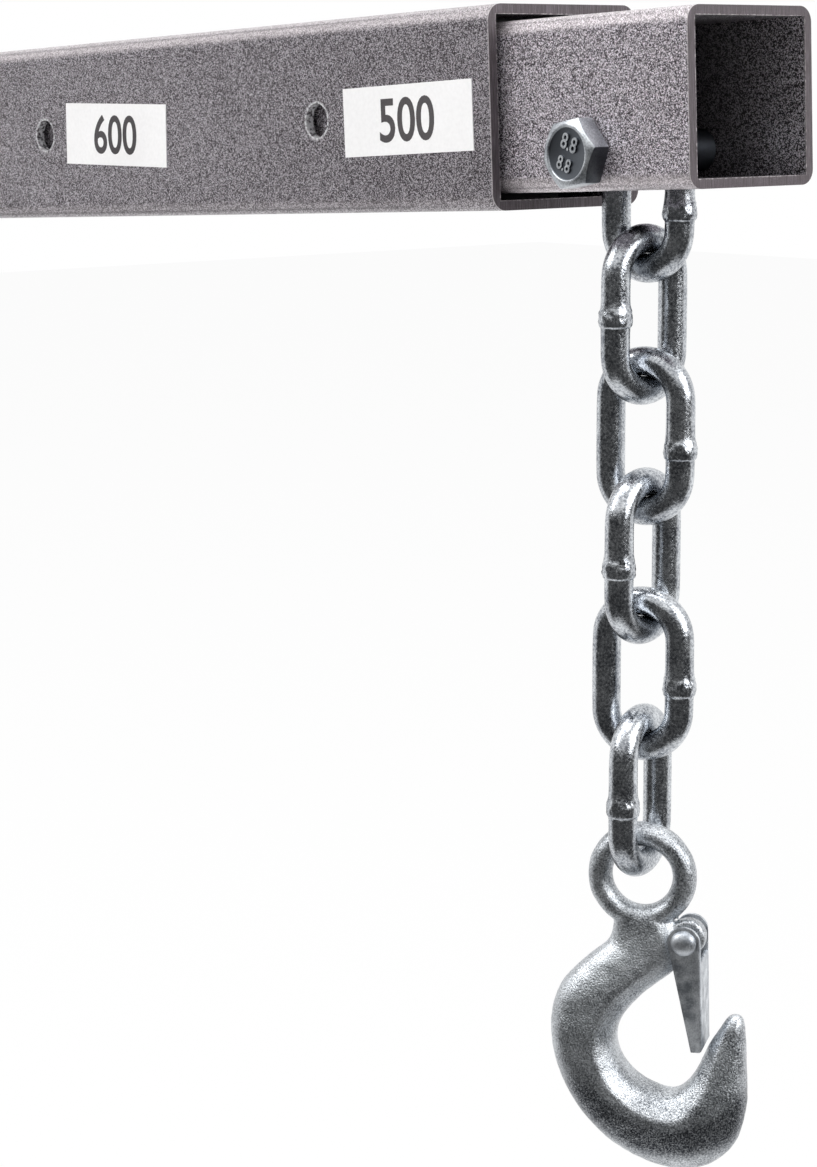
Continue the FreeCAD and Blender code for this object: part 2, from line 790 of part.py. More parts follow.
extension_half = S.extension_side / 2
extension = square_tube(
    "Extension",
    "YZ_Plane",
    Vector(1, 0, 0),
    "extension_side",
    "extension_wall",
    "extension_corner",
    "extension_nose + pin_hole_setback + %d * pin_hole_pitch + extension_tail" % (PIN_HOLES - 1),
)
hook_bolt_x = extension_tip - S.hook_bolt_setback
hook_bolt_z = S.hook_bolt_above_bottom - extension_half
through_extension = "extension_side + 2 * overrun"
drill(
    extension,
    "pin_hole_diameter / 2",
    through_extension,
    (S.extension_tail, -extension_half - S.overrun, -S.pin_hole_drop),
    ALONG_Y,
)
drill(
    extension,
    "hook_bolt_hole / 2",
    through_extension,
    (hook_bolt_x - extension_rear, -extension_half - S.overrun, hook_bolt_z),
    ALONG_Y,
)
slot_out(
    extension,
    "chain_slot_ahead + chain_slot_behind",
    "chain_slot_width",
    "extension_wall + 2 * overrun",
    (
        hook_bolt_x - extension_rear - S.chain_slot_behind,
        -S.chain_slot_width / 2,
        -extension_half - 2 * S.overrun,
    ),
)
place(extension, "extension_tube", BOOM.multiply(up(x=extension_rear)))

tail_pads_at = extension_rear + S.tail_pad_setback
place(slide_pads(tail_pads_at, extension_half, 1), "tail_slide_pads", BOOM)

hook_bolt = hex_bolt(
    "hook_bolt_flats",
    "hook_bolt_head",
    "hook_bolt_diameter / 2",
    "extension_side + hook_nut_thick + bolt_tail",
    (hook_bolt_x, -extension_half, hook_bolt_z),
)
place(hook_bolt, "hook_bolt", BOOM)
hook_nut = hex_nut(
    "hook_bolt_flats", "hook_nut_thick", "hook_bolt_diameter / 2", (hook_bolt_x, extension_half, hook_bolt_z)
)
place(hook_nut, "hook_nut", BOOM)

# The pin that locks the extension, drawn out until only its tip is in the boom's near wall

pin_tip = -boom_half + S.boom_wall - S.running_gap
pin_shoulder = pin_tip - S.lock_pin_length
pin_x = hole_places[-1]
ring_y = pin_shoulder - S.lock_pin_head_thick - S.lock_pin_tail / 2
lock_pin = cut(
    fuse(
        rod(
            "lock_pin_diameter / 2",
            "lock_pin_length - lock_pin_tip_cone",
            (pin_x, pin_shoulder, -S.pin_hole_drop),
            ALONG_Y,
        ),
        rod(
            "lock_pin_head_diameter / 2",
            "lock_pin_head_thick",
            (pin_x, pin_shoulder - S.lock_pin_head_thick, -S.pin_hole_drop),
            ALONG_Y,
        ),
        rod(
            "lock_pin_diameter / 2",
            "lock_pin_tail",
            (pin_x, pin_shoulder - S.lock_pin_head_thick - S.lock_pin_tail, -S.pin_hole_drop),
            ALONG_Y,
        ),
        put(
            bind(
                doc.addObject("Part::Cone", "Tip"),
                Radius1="lock_pin_diameter / 2",
                Radius2="lock_pin_diameter / 2 - lock_pin_tip_cone",
                Height="lock_pin_tip_cone",
            ),
            (pin_x, pin_tip - S.lock_pin_tip_cone, -S.pin_hole_drop),
            ALONG_Y,
        ),
    ),
    rod(
        "pin_ring_hole / 2",
        "lock_pin_diameter + 2 * overrun",
        (pin_x - S.lock_pin_diameter / 2 - S.overrun, ring_y, -S.pin_hole_drop),
        ALONG_X,
    ),
)
place(lock_pin, "lock_pin", BOOM)

ring_rise = S.pin_ring_hole / 2 - S.pin_ring_wire / 2 - S.flat_gap
ring = bind(doc.addObject("Part::Torus", "Ring"), Radius1="pin_ring_radius", Radius2="pin_ring_wire / 2")
put(ring, (pin_x, ring_y, -S.pin_hole_drop + ring_rise - S.pin_ring_radius), ALONG_Y)
place(ring, "lock_pin_ring", BOOM)

# Jack: the bracket on the mast, and the frame whose Z runs from the foot pin to the head pin

foot_pin_at = Vector(S.jack_foot_forward, 0, S.pivot_height - S.jack_foot_drop)
head_pin_at = BOOM.multVec(Vector(S.jack_head_forward, 0, -S.jack_head_drop))
jack_line = head_pin_at - foot_pin_at
JACK = Placement(foot_pin_at, about_y(math.degrees(math.atan2(jack_line.x, jack_line.z))))
jack_length = jack_line.Length

bracket_parts = [
    block(
        "bracket_plate_thick",
        "bracket_plate_width",
        "bracket_plate_height",
        (mast_half, -S.bracket_plate_width / 2, foot_pin_at.z - S.bracket_plate_height / 2),
    )
]
lug_gap_half = S.jack_lug_width / 2 + S.flat_gap
plate_face = mast_half + S.bracket_plate_thick
for y in (-lug_gap_half - S.bracket_ear_thick, lug_gap_half):
    bracket_parts.append(
        block(
            "jack_foot_forward - mast_side / 2 - bracket_plate_thick",
            "bracket_ear_thick",
            "2 * bracket_ear_radius",
            (plate_face, y, foot_pin_at.z - S.bracket_ear_radius),
        )
    )
    bracket_parts.append(
        rod("bracket_ear_radius", "bracket_ear_thick", (foot_pin_at.x, y, foot_pin_at.z), ALONG_Y)
    )
bracket_bore = rod(
    "foot_pin_diameter / 2 + running_gap",
    "bracket_plate_width",
    (foot_pin_at.x, -S.bracket_plate_width / 2, foot_pin_at.z),
    ALONG_Y,
)
place(cut(fuse(*bracket_parts), bracket_bore), "jack_bracket")


def clevis_pin(diameter, grip, grip_half, frame, label):
    """A headed pin along Y through two ears, held by a washer and a cotter: the pin, then its keeper."""
    radius = diameter + " / 2"
    seat = -grip_half
    far = grip_half + S.pin_washer_thick
    cotter_y = far + S.cotter_diameter / 2 + S.running_gap
    pin = cut(
        fuse(
            rod(radius + " + pin_head_rim", "pin_head_thick", (0, seat - S.pin_head_thick, 0), ALONG_Y),
            rod(radius, grip + " + pin_washer_thick + pin_tail", (0, seat, 0), ALONG_Y),
        ),
        rod(
            "cotter_diameter / 2",
            diameter + " + 2 * cotter_proud",
            (0, cotter_y, -getattr(S, diameter) / 2 - S.cotter_proud),
        ),
    )
    place(pin, label, frame)
    keeper = group(
        washer(radius + " + pin_head_rim", radius, "pin_washer_thick", (0, grip_half, 0), ALONG_Y),
        rod(
            "cotter_diameter / 2",
            diameter + " + 2 * cotter_proud",
            (0, cotter_y, -getattr(S, diameter) / 2 - S.cotter_proud),
        ),
    )
    place(keeper, label + "_keeper", frame)


clevis_pin(
    "foot_pin_diameter",
    "jack_lug_width + 2 * flat_gap + 2 * bracket_ear_thick",
    lug_gap_half + S.bracket_ear_thick,
    Placement(foot_pin_at, UPRIGHT),
    "jack_foot_pin",
)
clevis_pin(
    "head_pin_diameter",
    "ram_eye_width + 2 * flat_gap + 2 * boom_ear_thick",
    ear_gap_half + S.boom_ear_thick,
    BOOM.multiply(up(S.jack_head_forward, 0, -S.jack_head_drop)),
    "jack_head_pin",
)

block_top = S.jack_block_bottom + S.jack_block_height
post_x = S.pump_post_forward
post_half = S.pump_post_width / 2
pivot_z = S.pump_pivot_height
cylinder_top = block_top + S.cylinder_length
jack_block = block(
    "jack_block_inboard + jack_block_outboard",
    "jack_block_width",
    "jack_block_height",
    (-S.jack_block_inboard, -S.jack_block_width / 2, S.jack_block_bottom),
)
eased_block = doc.addObject("Part::Chamfer", "EasedBlock")
eased_block.Base = jack_block
doc.recompute()
edge_count = len(jack_block.Shape.Edges)
eased_block.Edges = [(n + 1, S.jack_block_edge, S.jack_block_edge) for n in range(edge_count)]
valve_z = S.jack_block_bottom + S.valve_above_block_bottom
valve_bore_at = (S.jack_block_outboard - S.valve_depth, S.valve_aside, valve_z)
jack_base = cut(
    fuse(
        eased_block,
        rod("jack_lug_radius", "jack_lug_width", (0, -S.jack_lug_width / 2, 0), ALONG_Y),
        block(
            "2 * jack_lug_radius",
            "jack_lug_width",
            "jack_block_bottom + jack_block_edge",
            (-S.jack_lug_radius, -S.jack_lug_width / 2, 0),
        ),
        block(
            "pump_post_thick",
            "pump_post_width",
            "pump_pivot_height - jack_block_bottom - jack_block_height + jack_block_edge",
            (post_x - S.pump_post_thick / 2, -post_half, block_top - S.jack_block_edge),
        ),
        rod("pump_post_thick / 2", "pump_post_width", (post_x, -post_half, pivot_z), ALONG_Y),
    ),
    rod(
        "pump_pin_diameter / 2 + running_gap",
        "pump_post_width + 2 * overrun",
        (post_x, -post_half - S.overrun, pivot_z),
        ALONG_Y,
    ),
    rod(
        "foot_pin_diameter / 2 + running_gap",
        "jack_lug_width + 2 * overrun",
        (0, -S.jack_lug_width / 2 - S.overrun, 0),
        ALONG_Y,
    ),
    rod("valve_diameter / 2 + running_gap", "valve_depth + overrun", valve_bore_at, ALONG_X),
)
place(jack_base, "jack_base", JACK)

reservoir = cut(
    washer(
        "cylinder_diameter / 2",
        "cylinder_diameter / 2 - cylinder_wall",
        "cylinder_length",
        (0, 0, block_top),
    ),
    rod(
        "oil_plug_diameter / 2",
        "cylinder_wall + overrun",
        (-S.cylinder_diameter / 2 - S.overrun, 0, S.oil_plug_height),
        ALONG_X,
    ),
)
place(reservoir, "jack_reservoir_tube", JACK)
plug_at = (-S.cylinder_diameter / 2 - S.oil_plug_proud, 0, S.oil_plug_height)
oil_plug = fuse(
    rod("oil_plug_diameter / 2", "cylinder_wall + oil_plug_proud", plug_at, ALONG_X),
    rod("oil_plug_diameter / 2 + oil_plug_rim", "oil_plug_proud - flat_gap", plug_at, ALONG_X),
)
place(oil_plug, "oil_filler_plug", JACK)
pressure_tube = washer(
    "pressure_tube_diameter / 2",
    "pressure_tube_diameter / 2 - pressure_tube_wall",
    "cylinder_length",
    (0, 0, block_top),
)
place(pressure_tube, "jack_pressure_tube", JACK)
gland = cut(
    fuse(
        rod("gland_skirt_diameter / 2", "gland_skirt_height", (0, 0, cylinder_top)),
        hexagon(
            "gland_flats",
            "gland_flats_height",
            (0, 0, cylinder_top + S.gland_skirt_height),
            UPRIGHT,
        ),
    ),
    rod(
        "ram_diameter / 2 + running_gap",
        "gland_skirt_height + gland_flats_height + 2 * overrun",
        (0, 0, cylinder_top - S.overrun),
    ),
)
place(gland, "jack_gland_nut", JACK)

neck_top = jack_length - S.boom_ear_radius - S.closing_play - S.ram_neck_clear
neck_bottom = neck_top - S.ram_neck_length
ram = doc.addObject("Part::Cylinder", "Ram")
bind(ram, Radius="ram_diameter / 2")
ram.Height = neck_bottom - S.ram_foot_height
put(ram, (0, 0, S.ram_foot_height), UPRIGHT)
place(ram, "ram", JACK)
piston = washer(
    "pressure_tube_diameter / 2 - pressure_tube_wall - running_gap",
    "ram_diameter / 2",
    "piston_height",
    (0, 0, S.ram_foot_height),
)
place(piston, "ram_piston", JACK)
ram_head = cut(
    fuse(
        rod("ram_eye_radius", "ram_eye_width", (0, -S.ram_eye_width / 2, jack_length), ALONG_Y),
        rod("ram_neck_diameter / 2", "ram_neck_length", (0, 0, neck_bottom)),
        block(
            "ram_eye_width",
            "ram_eye_width",
            "boom_ear_radius + closing_play + ram_neck_clear",
            (-S.ram_eye_width / 2, -S.ram_eye_width / 2, neck_top),
        ),
    ),
    rod(
        "head_pin_diameter / 2 + closing_play",
        "ram_eye_width + 2 * overrun",
        (0, -S.ram_eye_width / 2 - S.overrun, jack_length),
        ALONG_Y,
    ),
)
place(ram_head, "ram_eye", JACK)

# Pump: post, cylinder, plunger, handle socket, lever, grip and the release valve

arm_rest = math.radians(PUMP_REST_DEGREES)
arm_run = S.pump_arm * math.cos(arm_rest)
arm_sink = S.pump_arm * math.sin(arm_rest)
plunger_x = post_x + (arm_run + S.pump_arm) / 2
plunger_z = pivot_z - arm_sink
pump_cylinder = washer(
    "pump_cylinder_diameter / 2",
    "plunger_diameter / 2 + running_gap",
    "pump_cylinder_height",
    (plunger_x, 0, block_top),
)
place(pump_cylinder, "pump_cylinder", JACK)
plunger = cut(
    fuse(
        rod("plunger_diameter / 2", "plunger_length", (plunger_x, 0, plunger_z - S.plunger_length)),
        rod("plunger_head_radius", "pump_post_width", (plunger_x, -post_half, plunger_z), ALONG_Y),
    ),
    rod(
        "pump_pin_diameter / 2 + plunger_play",
        "pump_post_width + 2 * overrun",
        (plunger_x, -post_half - S.overrun, plunger_z),
        ALONG_Y,
    ),
)
place(plunger, "pump_plunger", JACK)

HANDLE = JACK.multiply(up(post_x, 0, pivot_z, about_y(PUMP_REST_DEGREES - LEVER_OVER_ARM_DEGREES)))
arm_turn = math.radians(LEVER_OVER_ARM_DEGREES)
arm_end = (S.pump_arm * math.cos(arm_turn), -S.pump_arm * math.sin(arm_turn))
boss = S.fork_boss_radius
socket_half = S.socket_diameter / 2
rear, rear_half, crown_back = FORK_REAR_SHARES
fork_outline = [
    (boss * rear, -boss * rear_half),
    (boss * rear, boss * rear_half),
    (boss * crown_back, boss),
    (S.fork_length, socket_half * FORK_SOCKET_SHARE),
    (S.fork_length, -socket_half * FORK_SOCKET_SHARE),
]
fork_outline += [(arm_end[0] + boss * ahead, arm_end[1] + boss * above) for ahead, above in FORK_ARM_SHARES]
fork_plates = []
for y_side in (-1, 1):
    web = plate(
        "ForkPlate",
        fork_outline,
        "fork_plate_thick",
        [(0, 0, S.pump_pin_diameter / 2), (arm_end[0], arm_end[1], S.pump_pin_diameter / 2)],
    )
    web.Placement = up(y=y_side * (post_half + S.flat_gap + S.fork_plate_thick / 2))
    fork_plates.append(web)
socket_start = S.fork_length - S.fork_boss_radius / 2
socket = cut(
    fuse(*fork_plates, rod("socket_diameter / 2", "socket_length", (socket_start, 0, 0), ALONG_X)),
    rod(
        "lever_diameter / 2 + running_gap",
        "socket_length + overrun",
        (socket_start + S.fork_plate_thick, 0, 0),
        ALONG_X,
    ),
)
place(socket, "handle_socket", HANDLE)

pin_length = "pump_post_width + 2 * flat_gap + 4 * fork_plate_thick"
pin_start = -post_half - S.flat_gap - 2 * S.fork_plate_thick
socket_pins = [
    rod("pump_pin_diameter / 2", pin_length, (x, pin_start, z), ALONG_Y) for x, z in ((0, 0), arm_end)
]
place(group(*socket_pins), "socket_pins", HANDLE)

lever = washer(
    "lever_diameter / 2",
    "lever_diameter / 2 - lever_wall",
    "lever_length",
    (S.lever_start, 0, 0),
    ALONG_X,
)
place(lever, "pump_lever", HANDLE)
lever_end = S.lever_start + S.lever_length
grip = cut(
    rod(
        "lever_diameter / 2 + grip_wall",
        "grip_length + grip_cap",
        (lever_end - S.grip_length, 0, 0),
        ALONG_X,
    ),
    rod("lever_diameter / 2", "grip_length", (lever_end - S.grip_length, 0, 0), ALONG_X),
)
place(grip, "lever_grip", HANDLE)

valve_start = S.jack_block_outboard - S.valve_depth + S.flat_gap
knob_start = S.jack_block_outboard + S.valve_stem
valve = cut(
    fuse(
        rod(
            "valve_diameter / 2",
            "valve_depth + valve_stem - flat_gap",
            (valve_start, S.valve_aside, valve_z),
            ALONG_X,
        ),
        rod("valve_knob_diameter / 2", "valve_knob_length", (knob_start, S.valve_aside, valve_z), ALONG_X),
    ),
    block(
        "valve_slot_depth + overrun",
        "valve_slot_width",
        "valve_knob_diameter + 2 * overrun",
        (
            knob_start + S.valve_knob_length - S.valve_slot_depth,
            S.valve_aside - S.valve_slot_width / 2,
            valve_z - S.valve_knob_diameter / 2 - S.overrun,
        ),
    ),
)
place(valve, "release_valve", JACK)

# Chain: welded links, each across the next, hanging straight down from the bolt

bolt_at = BOOM.multVec(Vector(hook_bolt_x, 0, hook_bolt_z))
bend_from_middle = (S.link_inside_length + 2 * S.link_wire - S.link_outside_width) / 2
bar_aside = (S.link_outside_width - S.link_wire) / 2


def half_ring(z, degrees):
    bend = bind(
        doc.addObject("Part::Torus", "Bend"),
        Radius1="(link_outside_width - link_wire) / 2",
        Radius2="link_wire / 2",
    )
    bend.Angle3 = 180
    return put(bend, (0, 0, z), Rotation(Vector(1, 0, 0), degrees))


def chain_link(weld_side):
    straight = "link_inside_length + 2 * link_wire - link_outside_width"
    return fuse(
        half_ring(bend_from_middle, 90),
        half_ring(-bend_from_middle, -90),
        rod("link_wire / 2", straight, (-bar_aside, 0, -bend_from_middle)),
        rod("link_wire / 2", straight, (bar_aside, 0, -bend_from_middle)),
        rod("link_wire / 2 + weld_proud", "weld_height", (weld_side * bar_aside, 0, -S.weld_height / 2)),
    )


link_z = bolt_at.z + S.hook_bolt_diameter / 2 + S.link_gap - S.link_inside_length / 2
link_pitch = S.link_inside_length - S.link_gap
for n, twist in enumerate(LINK_TWIST_DEGREES):
    weld_side = 1 if n % 2 == 0 else -1
    frame = up(bolt_at.x, 0, link_z - n * link_pitch, Rotation(Vector(0, 0, 1), twist))
    place(chain_link(weld_side), "chain_link_%d" % (n + 1), frame)
last_link_z = link_z - (len(LINK_TWIST_DEGREES) - 1) * link_pitch

# Hook: forged body with its eye, latch, rivet and spring. Its own X is across and Z is up.

eye_z = last_link_z - S.link_inside_length / 2 - S.eye_bore / 2 + S.link_gap
HOOK = up(bolt_at.x, 0, eye_z, Rotation(Vector(0, 0, 1), HOOK_TWIST_DEGREES))
latch_pivot = (S.latch_pivot_side, 0, -S.latch_pivot_drop)



def hook_section(inside_share, outside_share, thick_share):
    """An ellipse across the forging, from the inside of its bend to the outside."""
    inside = Vector(inside_share[0], 0, inside_share[1]) * S.hook_length
    outside = Vector(outside_share[0], 0, outside_share[1]) * S.hook_length
    across = (inside - outside).normalize()
    section = doc.addObject("Part::Ellipse", "Section")
    section.MajorRadius = (inside - outside).Length / 2
    bind(section, MinorRadius="hook_length * %g" % (thick_share / 2))
    along = across.cross(Vector(0, -1, 0))
    return put(section, (inside + outside) / 2, Rotation(across, Vector(0, -1, 0), along, "XYZ"))


bend_sections = [hook_section(*shares) for shares in HOOK_BEND_SHARES]
point_sections = [hook_section(*shares) for shares in HOOK_POINT_SHARES]
forging = []
for stretch in (bend_sections, bend_sections[-1:] + point_sections):
    loft = doc.addObject("Part::Loft", "Forging")
    loft.Sections = stretch
    loft.Solid = True
    forging.append(loft)
ring_section = bind(
    doc.addObject("Part::Ellipse", "RingSection"),
    MajorRadius="eye_thick / 2",
    MinorRadius="(eye_outside - eye_bore) / 4",
)
put(ring_section, ((S.eye_outside + S.eye_bore) / 4, 0, 0), Rotation(Vector(0, 0, 1), 90))
eye_ring = doc.addObject("Part::Revolution", "EyeRing")
eye_ring.Source = ring_section
eye_ring.Axis = Vector(0, 1, 0)
eye_ring.Angle = 360
eye_ring.Solid = True
lug_at = (latch_pivot[0], -S.latch_lug_width / 2, latch_pivot[2])
hook = cut(
    fuse(*forging, eye_ring, rod("latch_lug_radius", "latch_lug_width", lug_at, ALONG_Y)),
    rod(
        "rivet_diameter / 2 + running_gap",
        "latch_lug_width + 2 * overrun",
        (lug_at[0], lug_at[1] - S.overrun, lug_at[2]),
        ALONG_Y,
    ),
)
place(hook, "hook_body", HOOK)

LATCH = HOOK.multiply(Placement(Vector(*latch_pivot), about_y(LATCH_LEAN_DEGREES)))
root_half = S.latch_root_width / 2
latch_outline = [
    (root_half, S.latch_above_pivot),
    (root_half, -S.latch_length),
    (root_half - S.latch_tip_width, -S.latch_length),
]
latch_outline += [(root_half * across, S.latch_length * upward) for across, upward in LATCH_BACK_SHARES]
latch_plates = []
for y_side in (-1, 1):
    web = plate("LatchPlate", latch_outline, "latch_sheet", [(0, 0, S.rivet_diameter / 2 + S.running_gap)])
    web.Placement = up(y=y_side * (S.latch_inside + S.latch_sheet) / 2)
    latch_plates.append(web)
latch = fuse(
    *latch_plates,
    block(
        "latch_sheet",
        "latch_inside + 2 * latch_sheet",
        "latch_length - latch_web_start",
        (root_half - S.latch_sheet, -S.latch_inside / 2 - S.latch_sheet, -S.latch_length),
    ),
)
place(latch, "hook_latch", LATCH)

rivet_half = S.latch_inside / 2 + S.latch_sheet + S.running_gap
rivet_heads = []
for y, turn in ((-rivet_half, Rotation(Vector(1, 0, 0), 90)), (rivet_half, ALONG_Y)):
    dome = bind(
        doc.addObject("Part::Cone", "RivetHead"),
        Radius1="rivet_head_diameter / 2",
        Radius2="rivet_diameter / 2",
        Height="rivet_head_thick",
    )
    rivet_heads.append(put(dome, (0, y, 0), turn))
rivet_shank = rod(
    "rivet_diameter / 2", "latch_inside + 2 * latch_sheet + 2 * running_gap", (0, -rivet_half, 0), ALONG_Y
)
place(fuse(rivet_shank, *rivet_heads), "latch_rivet", HOOK.multiply(up(*latch_pivot)))


def biarc(start, start_way, end, end_way):
    """Two arcs that leave start along start_way and meet end along end_way."""
    gap = end - start
    ways = start_way + end_way
    a = 2 * (1 - start_way.dot(end_way))
    b = 2 * gap.dot(ways)
    c = -gap.dot(gap)
    reach = -c / b if abs(a) < 1e-9 else (-b + math.sqrt(b * b - 4 * a * c)) / (2 * a)
    near = start + start_way * reach
    far = end - end_way * reach
    joint = (near + far) / 2
    arcs = []
    for p, q, corner in ((start, joint, near), (joint, end, far)):
        bow = ((p - corner).normalize() + (q - corner).normalize()).normalize()
        half = (p - corner).getAngle(q - corner) / 2
        leg = (p - corner).Length
        radius = leg * math.tan(half)
        middle = corner + bow * (leg / math.cos(half) - radius)
        arcs.append(Part.Arc(p, middle, q).toShape())
    return arcs


climb = S.spring_pitch / (2 * math.pi)
leg_fall = S.spring_leg * climb / S.spring_coil_radius
coil_start = S.latch_lug_width / 2 + S.flat_gap + S.spring_wire / 2 + leg_fall


def coil_point(angle):
    """A point on the latch spring's middle line and its direction there, about the rivet."""
    radius = S.spring_coil_radius
    point = Vector(radius * math.sin(angle), coil_start + climb * angle, radius * math.cos(angle))
    way = Vector(radius * math.cos(angle), climb, -radius * math.sin(angle)).normalize()
    return point, way


quarters = int(4 * SPRING_TURNS)
first, first_way = coil_point(0)
last, last_way = coil_point(quarters * math.pi / 2)
path = [Part.LineSegment(first - first_way * S.spring_leg, first).toShape()]
for n in range(quarters):
    a, a_way = coil_point(n * math.pi / 2)
    b, b_way = coil_point((n + 1) * math.pi / 2)
    path.extend(biarc(a, a_way, b, b_way))
path.append(Part.LineSegment(last, last + last_way * S.spring_leg).toShape())
spine = Part.Wire(path)
leg_start = first - first_way * S.spring_leg
wire_end = Part.Wire([Part.Circle(leg_start, first_way, S.spring_wire / 2).toShape()])
spring = doc.addObject("Part::Feature", "LatchSpring")
spring.Shape = spine.makePipeShell([wire_end], True, False)
place(spring, "latch_spring", LATCH)
turn_length = math.hypot(2 * math.pi * S.spring_coil_radius, S.spring_pitch)
point_count = int(SPRING_POINTS_PER_TURN * spine.Length / turn_length)
points = spine.discretize(point_count)
next_turn = SPRING_POINTS_PER_TURN // 2
nearest = min(
    (points[far] - points[near]).Length
    for near in range(point_count)
    for far in range(near + next_turn, point_count)
)
print("latch spring: least gap to itself %.3f mm on %d points" % (nearest - S.spring_wire, point_count))

doc.recompute()
os.makedirs("parts", exist_ok=True)
for obj in doc.Objects:
    assert not {"Invalid", "Error"} & set(obj.State), (obj.Name, obj.State)
for piece in subparts:
    assert not piece.Shape.isNull() and piece.Shape.isValid(), piece.Label
for piece in subparts:
    piece.Shape.exportStep("parts/%s.step" % piece.Label)
print(len(subparts), "sub-parts,", sum(len(piece.Shape.Solids) for piece in subparts), "solids")
jack_tilt = math.degrees(JACK.Rotation.Angle)
print("jack: tilt %.3f degrees, %.2f mm between its pins" % (jack_tilt, jack_length))
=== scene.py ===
# %% [markdown]
# # Pickup truck crane
# The photograph is a close view of the boom's tip: two square tubes in speckled powder coat, a
# zinc-plated bolt, six welded links and a forged hook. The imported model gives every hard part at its
# real size. This lesson dresses it: the parts that show close up are modelled again with their
# welds, threads and forged edges, and every other part gets its finish and its small details.

import json
import math

import bpy
from mathutils import Matrix, Vector, noise


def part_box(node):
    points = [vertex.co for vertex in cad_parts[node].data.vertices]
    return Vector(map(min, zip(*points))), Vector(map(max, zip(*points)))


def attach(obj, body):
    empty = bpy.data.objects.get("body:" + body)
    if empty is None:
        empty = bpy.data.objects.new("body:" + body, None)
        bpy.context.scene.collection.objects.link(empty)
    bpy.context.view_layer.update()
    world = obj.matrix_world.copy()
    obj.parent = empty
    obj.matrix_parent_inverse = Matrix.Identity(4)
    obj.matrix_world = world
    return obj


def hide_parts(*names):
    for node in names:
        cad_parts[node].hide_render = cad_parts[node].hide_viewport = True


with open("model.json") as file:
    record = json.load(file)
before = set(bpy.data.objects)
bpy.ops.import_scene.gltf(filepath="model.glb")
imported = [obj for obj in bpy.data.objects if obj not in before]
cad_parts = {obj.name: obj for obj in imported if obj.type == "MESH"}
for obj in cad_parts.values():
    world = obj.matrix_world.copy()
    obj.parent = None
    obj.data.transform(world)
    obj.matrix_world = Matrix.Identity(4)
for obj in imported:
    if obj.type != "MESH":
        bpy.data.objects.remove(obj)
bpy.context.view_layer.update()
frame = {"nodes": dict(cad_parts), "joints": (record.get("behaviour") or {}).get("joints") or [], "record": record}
nodes = frame["nodes"]
joints = {joint["name"]: joint for joint in frame["joints"]}
MM = 0.001
ALONG_Y = Vector((0, 1, 0))
UPWARD = Vector((0, 0, 1))

# %% [markdown]
# The boom is raised a little, so its pieces are made lying along X about the pivot and then turned
# into place. The turn is read from the frame: the pivot is where the lifting joint is, and the boom
# runs along the axis that the extension slides on. The hook and the links are turned about Z, and
# their planes are read from their joints too.

# %% Frames of the boom, the links and the hook


def frame_matrix(across, along, upward, at):
    """The matrix that puts a piece's own X, Y and Z along three directions, at a place."""
    return Matrix.Translation(at) @ Matrix((across, along, upward)).transposed().to_4x4()


def reach(name, matrix):
    """The lowest and highest corner of a CAD node, measured in a frame of its own."""
    inverse = matrix.inverted()
    points = [inverse @ vertex.co for vertex in nodes[name].data.vertices]
    low = Vector(min(point[axis] for point in points) for axis in range(3))
    high = Vector(max(point[axis] for point in points) for axis in range(3))
    return low, high


pivot = Vector(joints["boom_lift"]["pos_m"])
boom_along = Vector(joints["extension_slide"]["axis"]).normalized()
BOOM = frame_matrix(boom_along, ALONG_Y, boom_along.cross(ALONG_Y).normalized(), pivot)

inner_low, inner_high = reach("extension_tube", BOOM)
outer_low, outer_high = reach("boom_tube", BOOM)
tip = inner_high.x
mouth = outer_high.x
print("tip at %.1f mm, mouth at %.1f mm along the boom" % (tip / MM, mouth / MM))

# %% [markdown]
# A few small helpers stand for the hands at the keyboard. One goes into edit mode with everything
# selected, because operators act on the selection. Another settles a finished piece: its place goes
# into its mesh, so that the object itself sits at the origin.

# %% Selecting and settling


def only(piece):
    """Makes one object the selected and active one."""
    bpy.ops.object.select_all(action="DESELECT")
    piece.select_set(True)
    bpy.context.view_layer.objects.active = piece
    return piece


def object_mode():
    bpy.ops.object.mode_set(mode="OBJECT")


def edit_all(piece):
    """Edit mode, with all of a piece selected."""
    only(piece)
    bpy.ops.object.mode_set(mode="EDIT")
    bpy.ops.mesh.select_all(action="SELECT")


def settle(piece, name, matrix=None):
    """Names a piece, puts its place into its mesh and leaves the object at the origin."""
    only(piece)
    piece.name = name
    piece.data.name = name
    if matrix is not None:
        piece.matrix_world = matrix @ piece.matrix_world
    bpy.ops.object.transform_apply(location=True, rotation=True, scale=True)
    return piece


def smooth(piece, degrees):
    only(piece)
    bpy.ops.object.shade_smooth_by_angle(angle=math.radians(degrees))
    return piece


def tidy_shell(piece, merge=0.01 * MM):
    """Merges doubles and turns every face outwards."""
    edit_all(piece)
    bpy.ops.mesh.remove_doubles(threshold=merge)
    bpy.ops.mesh.normals_make_consistent(inside=False)
    object_mode()
    return piece


def apply_modifier(piece, kind, **settings):
    only(piece)
    modifier = piece.modifiers.new(kind.title(), kind)
    for key, value in settings.items():
        setattr(modifier, key, value)
    bpy.ops.object.modifier_apply(modifier=modifier.name)
    return piece


# %% [markdown]
# A material is written as sums. A Value wraps a socket, and adding or multiplying Values adds the
# Math nodes, so a mask reads like the formula that it is.

# %% Shader arithmetic


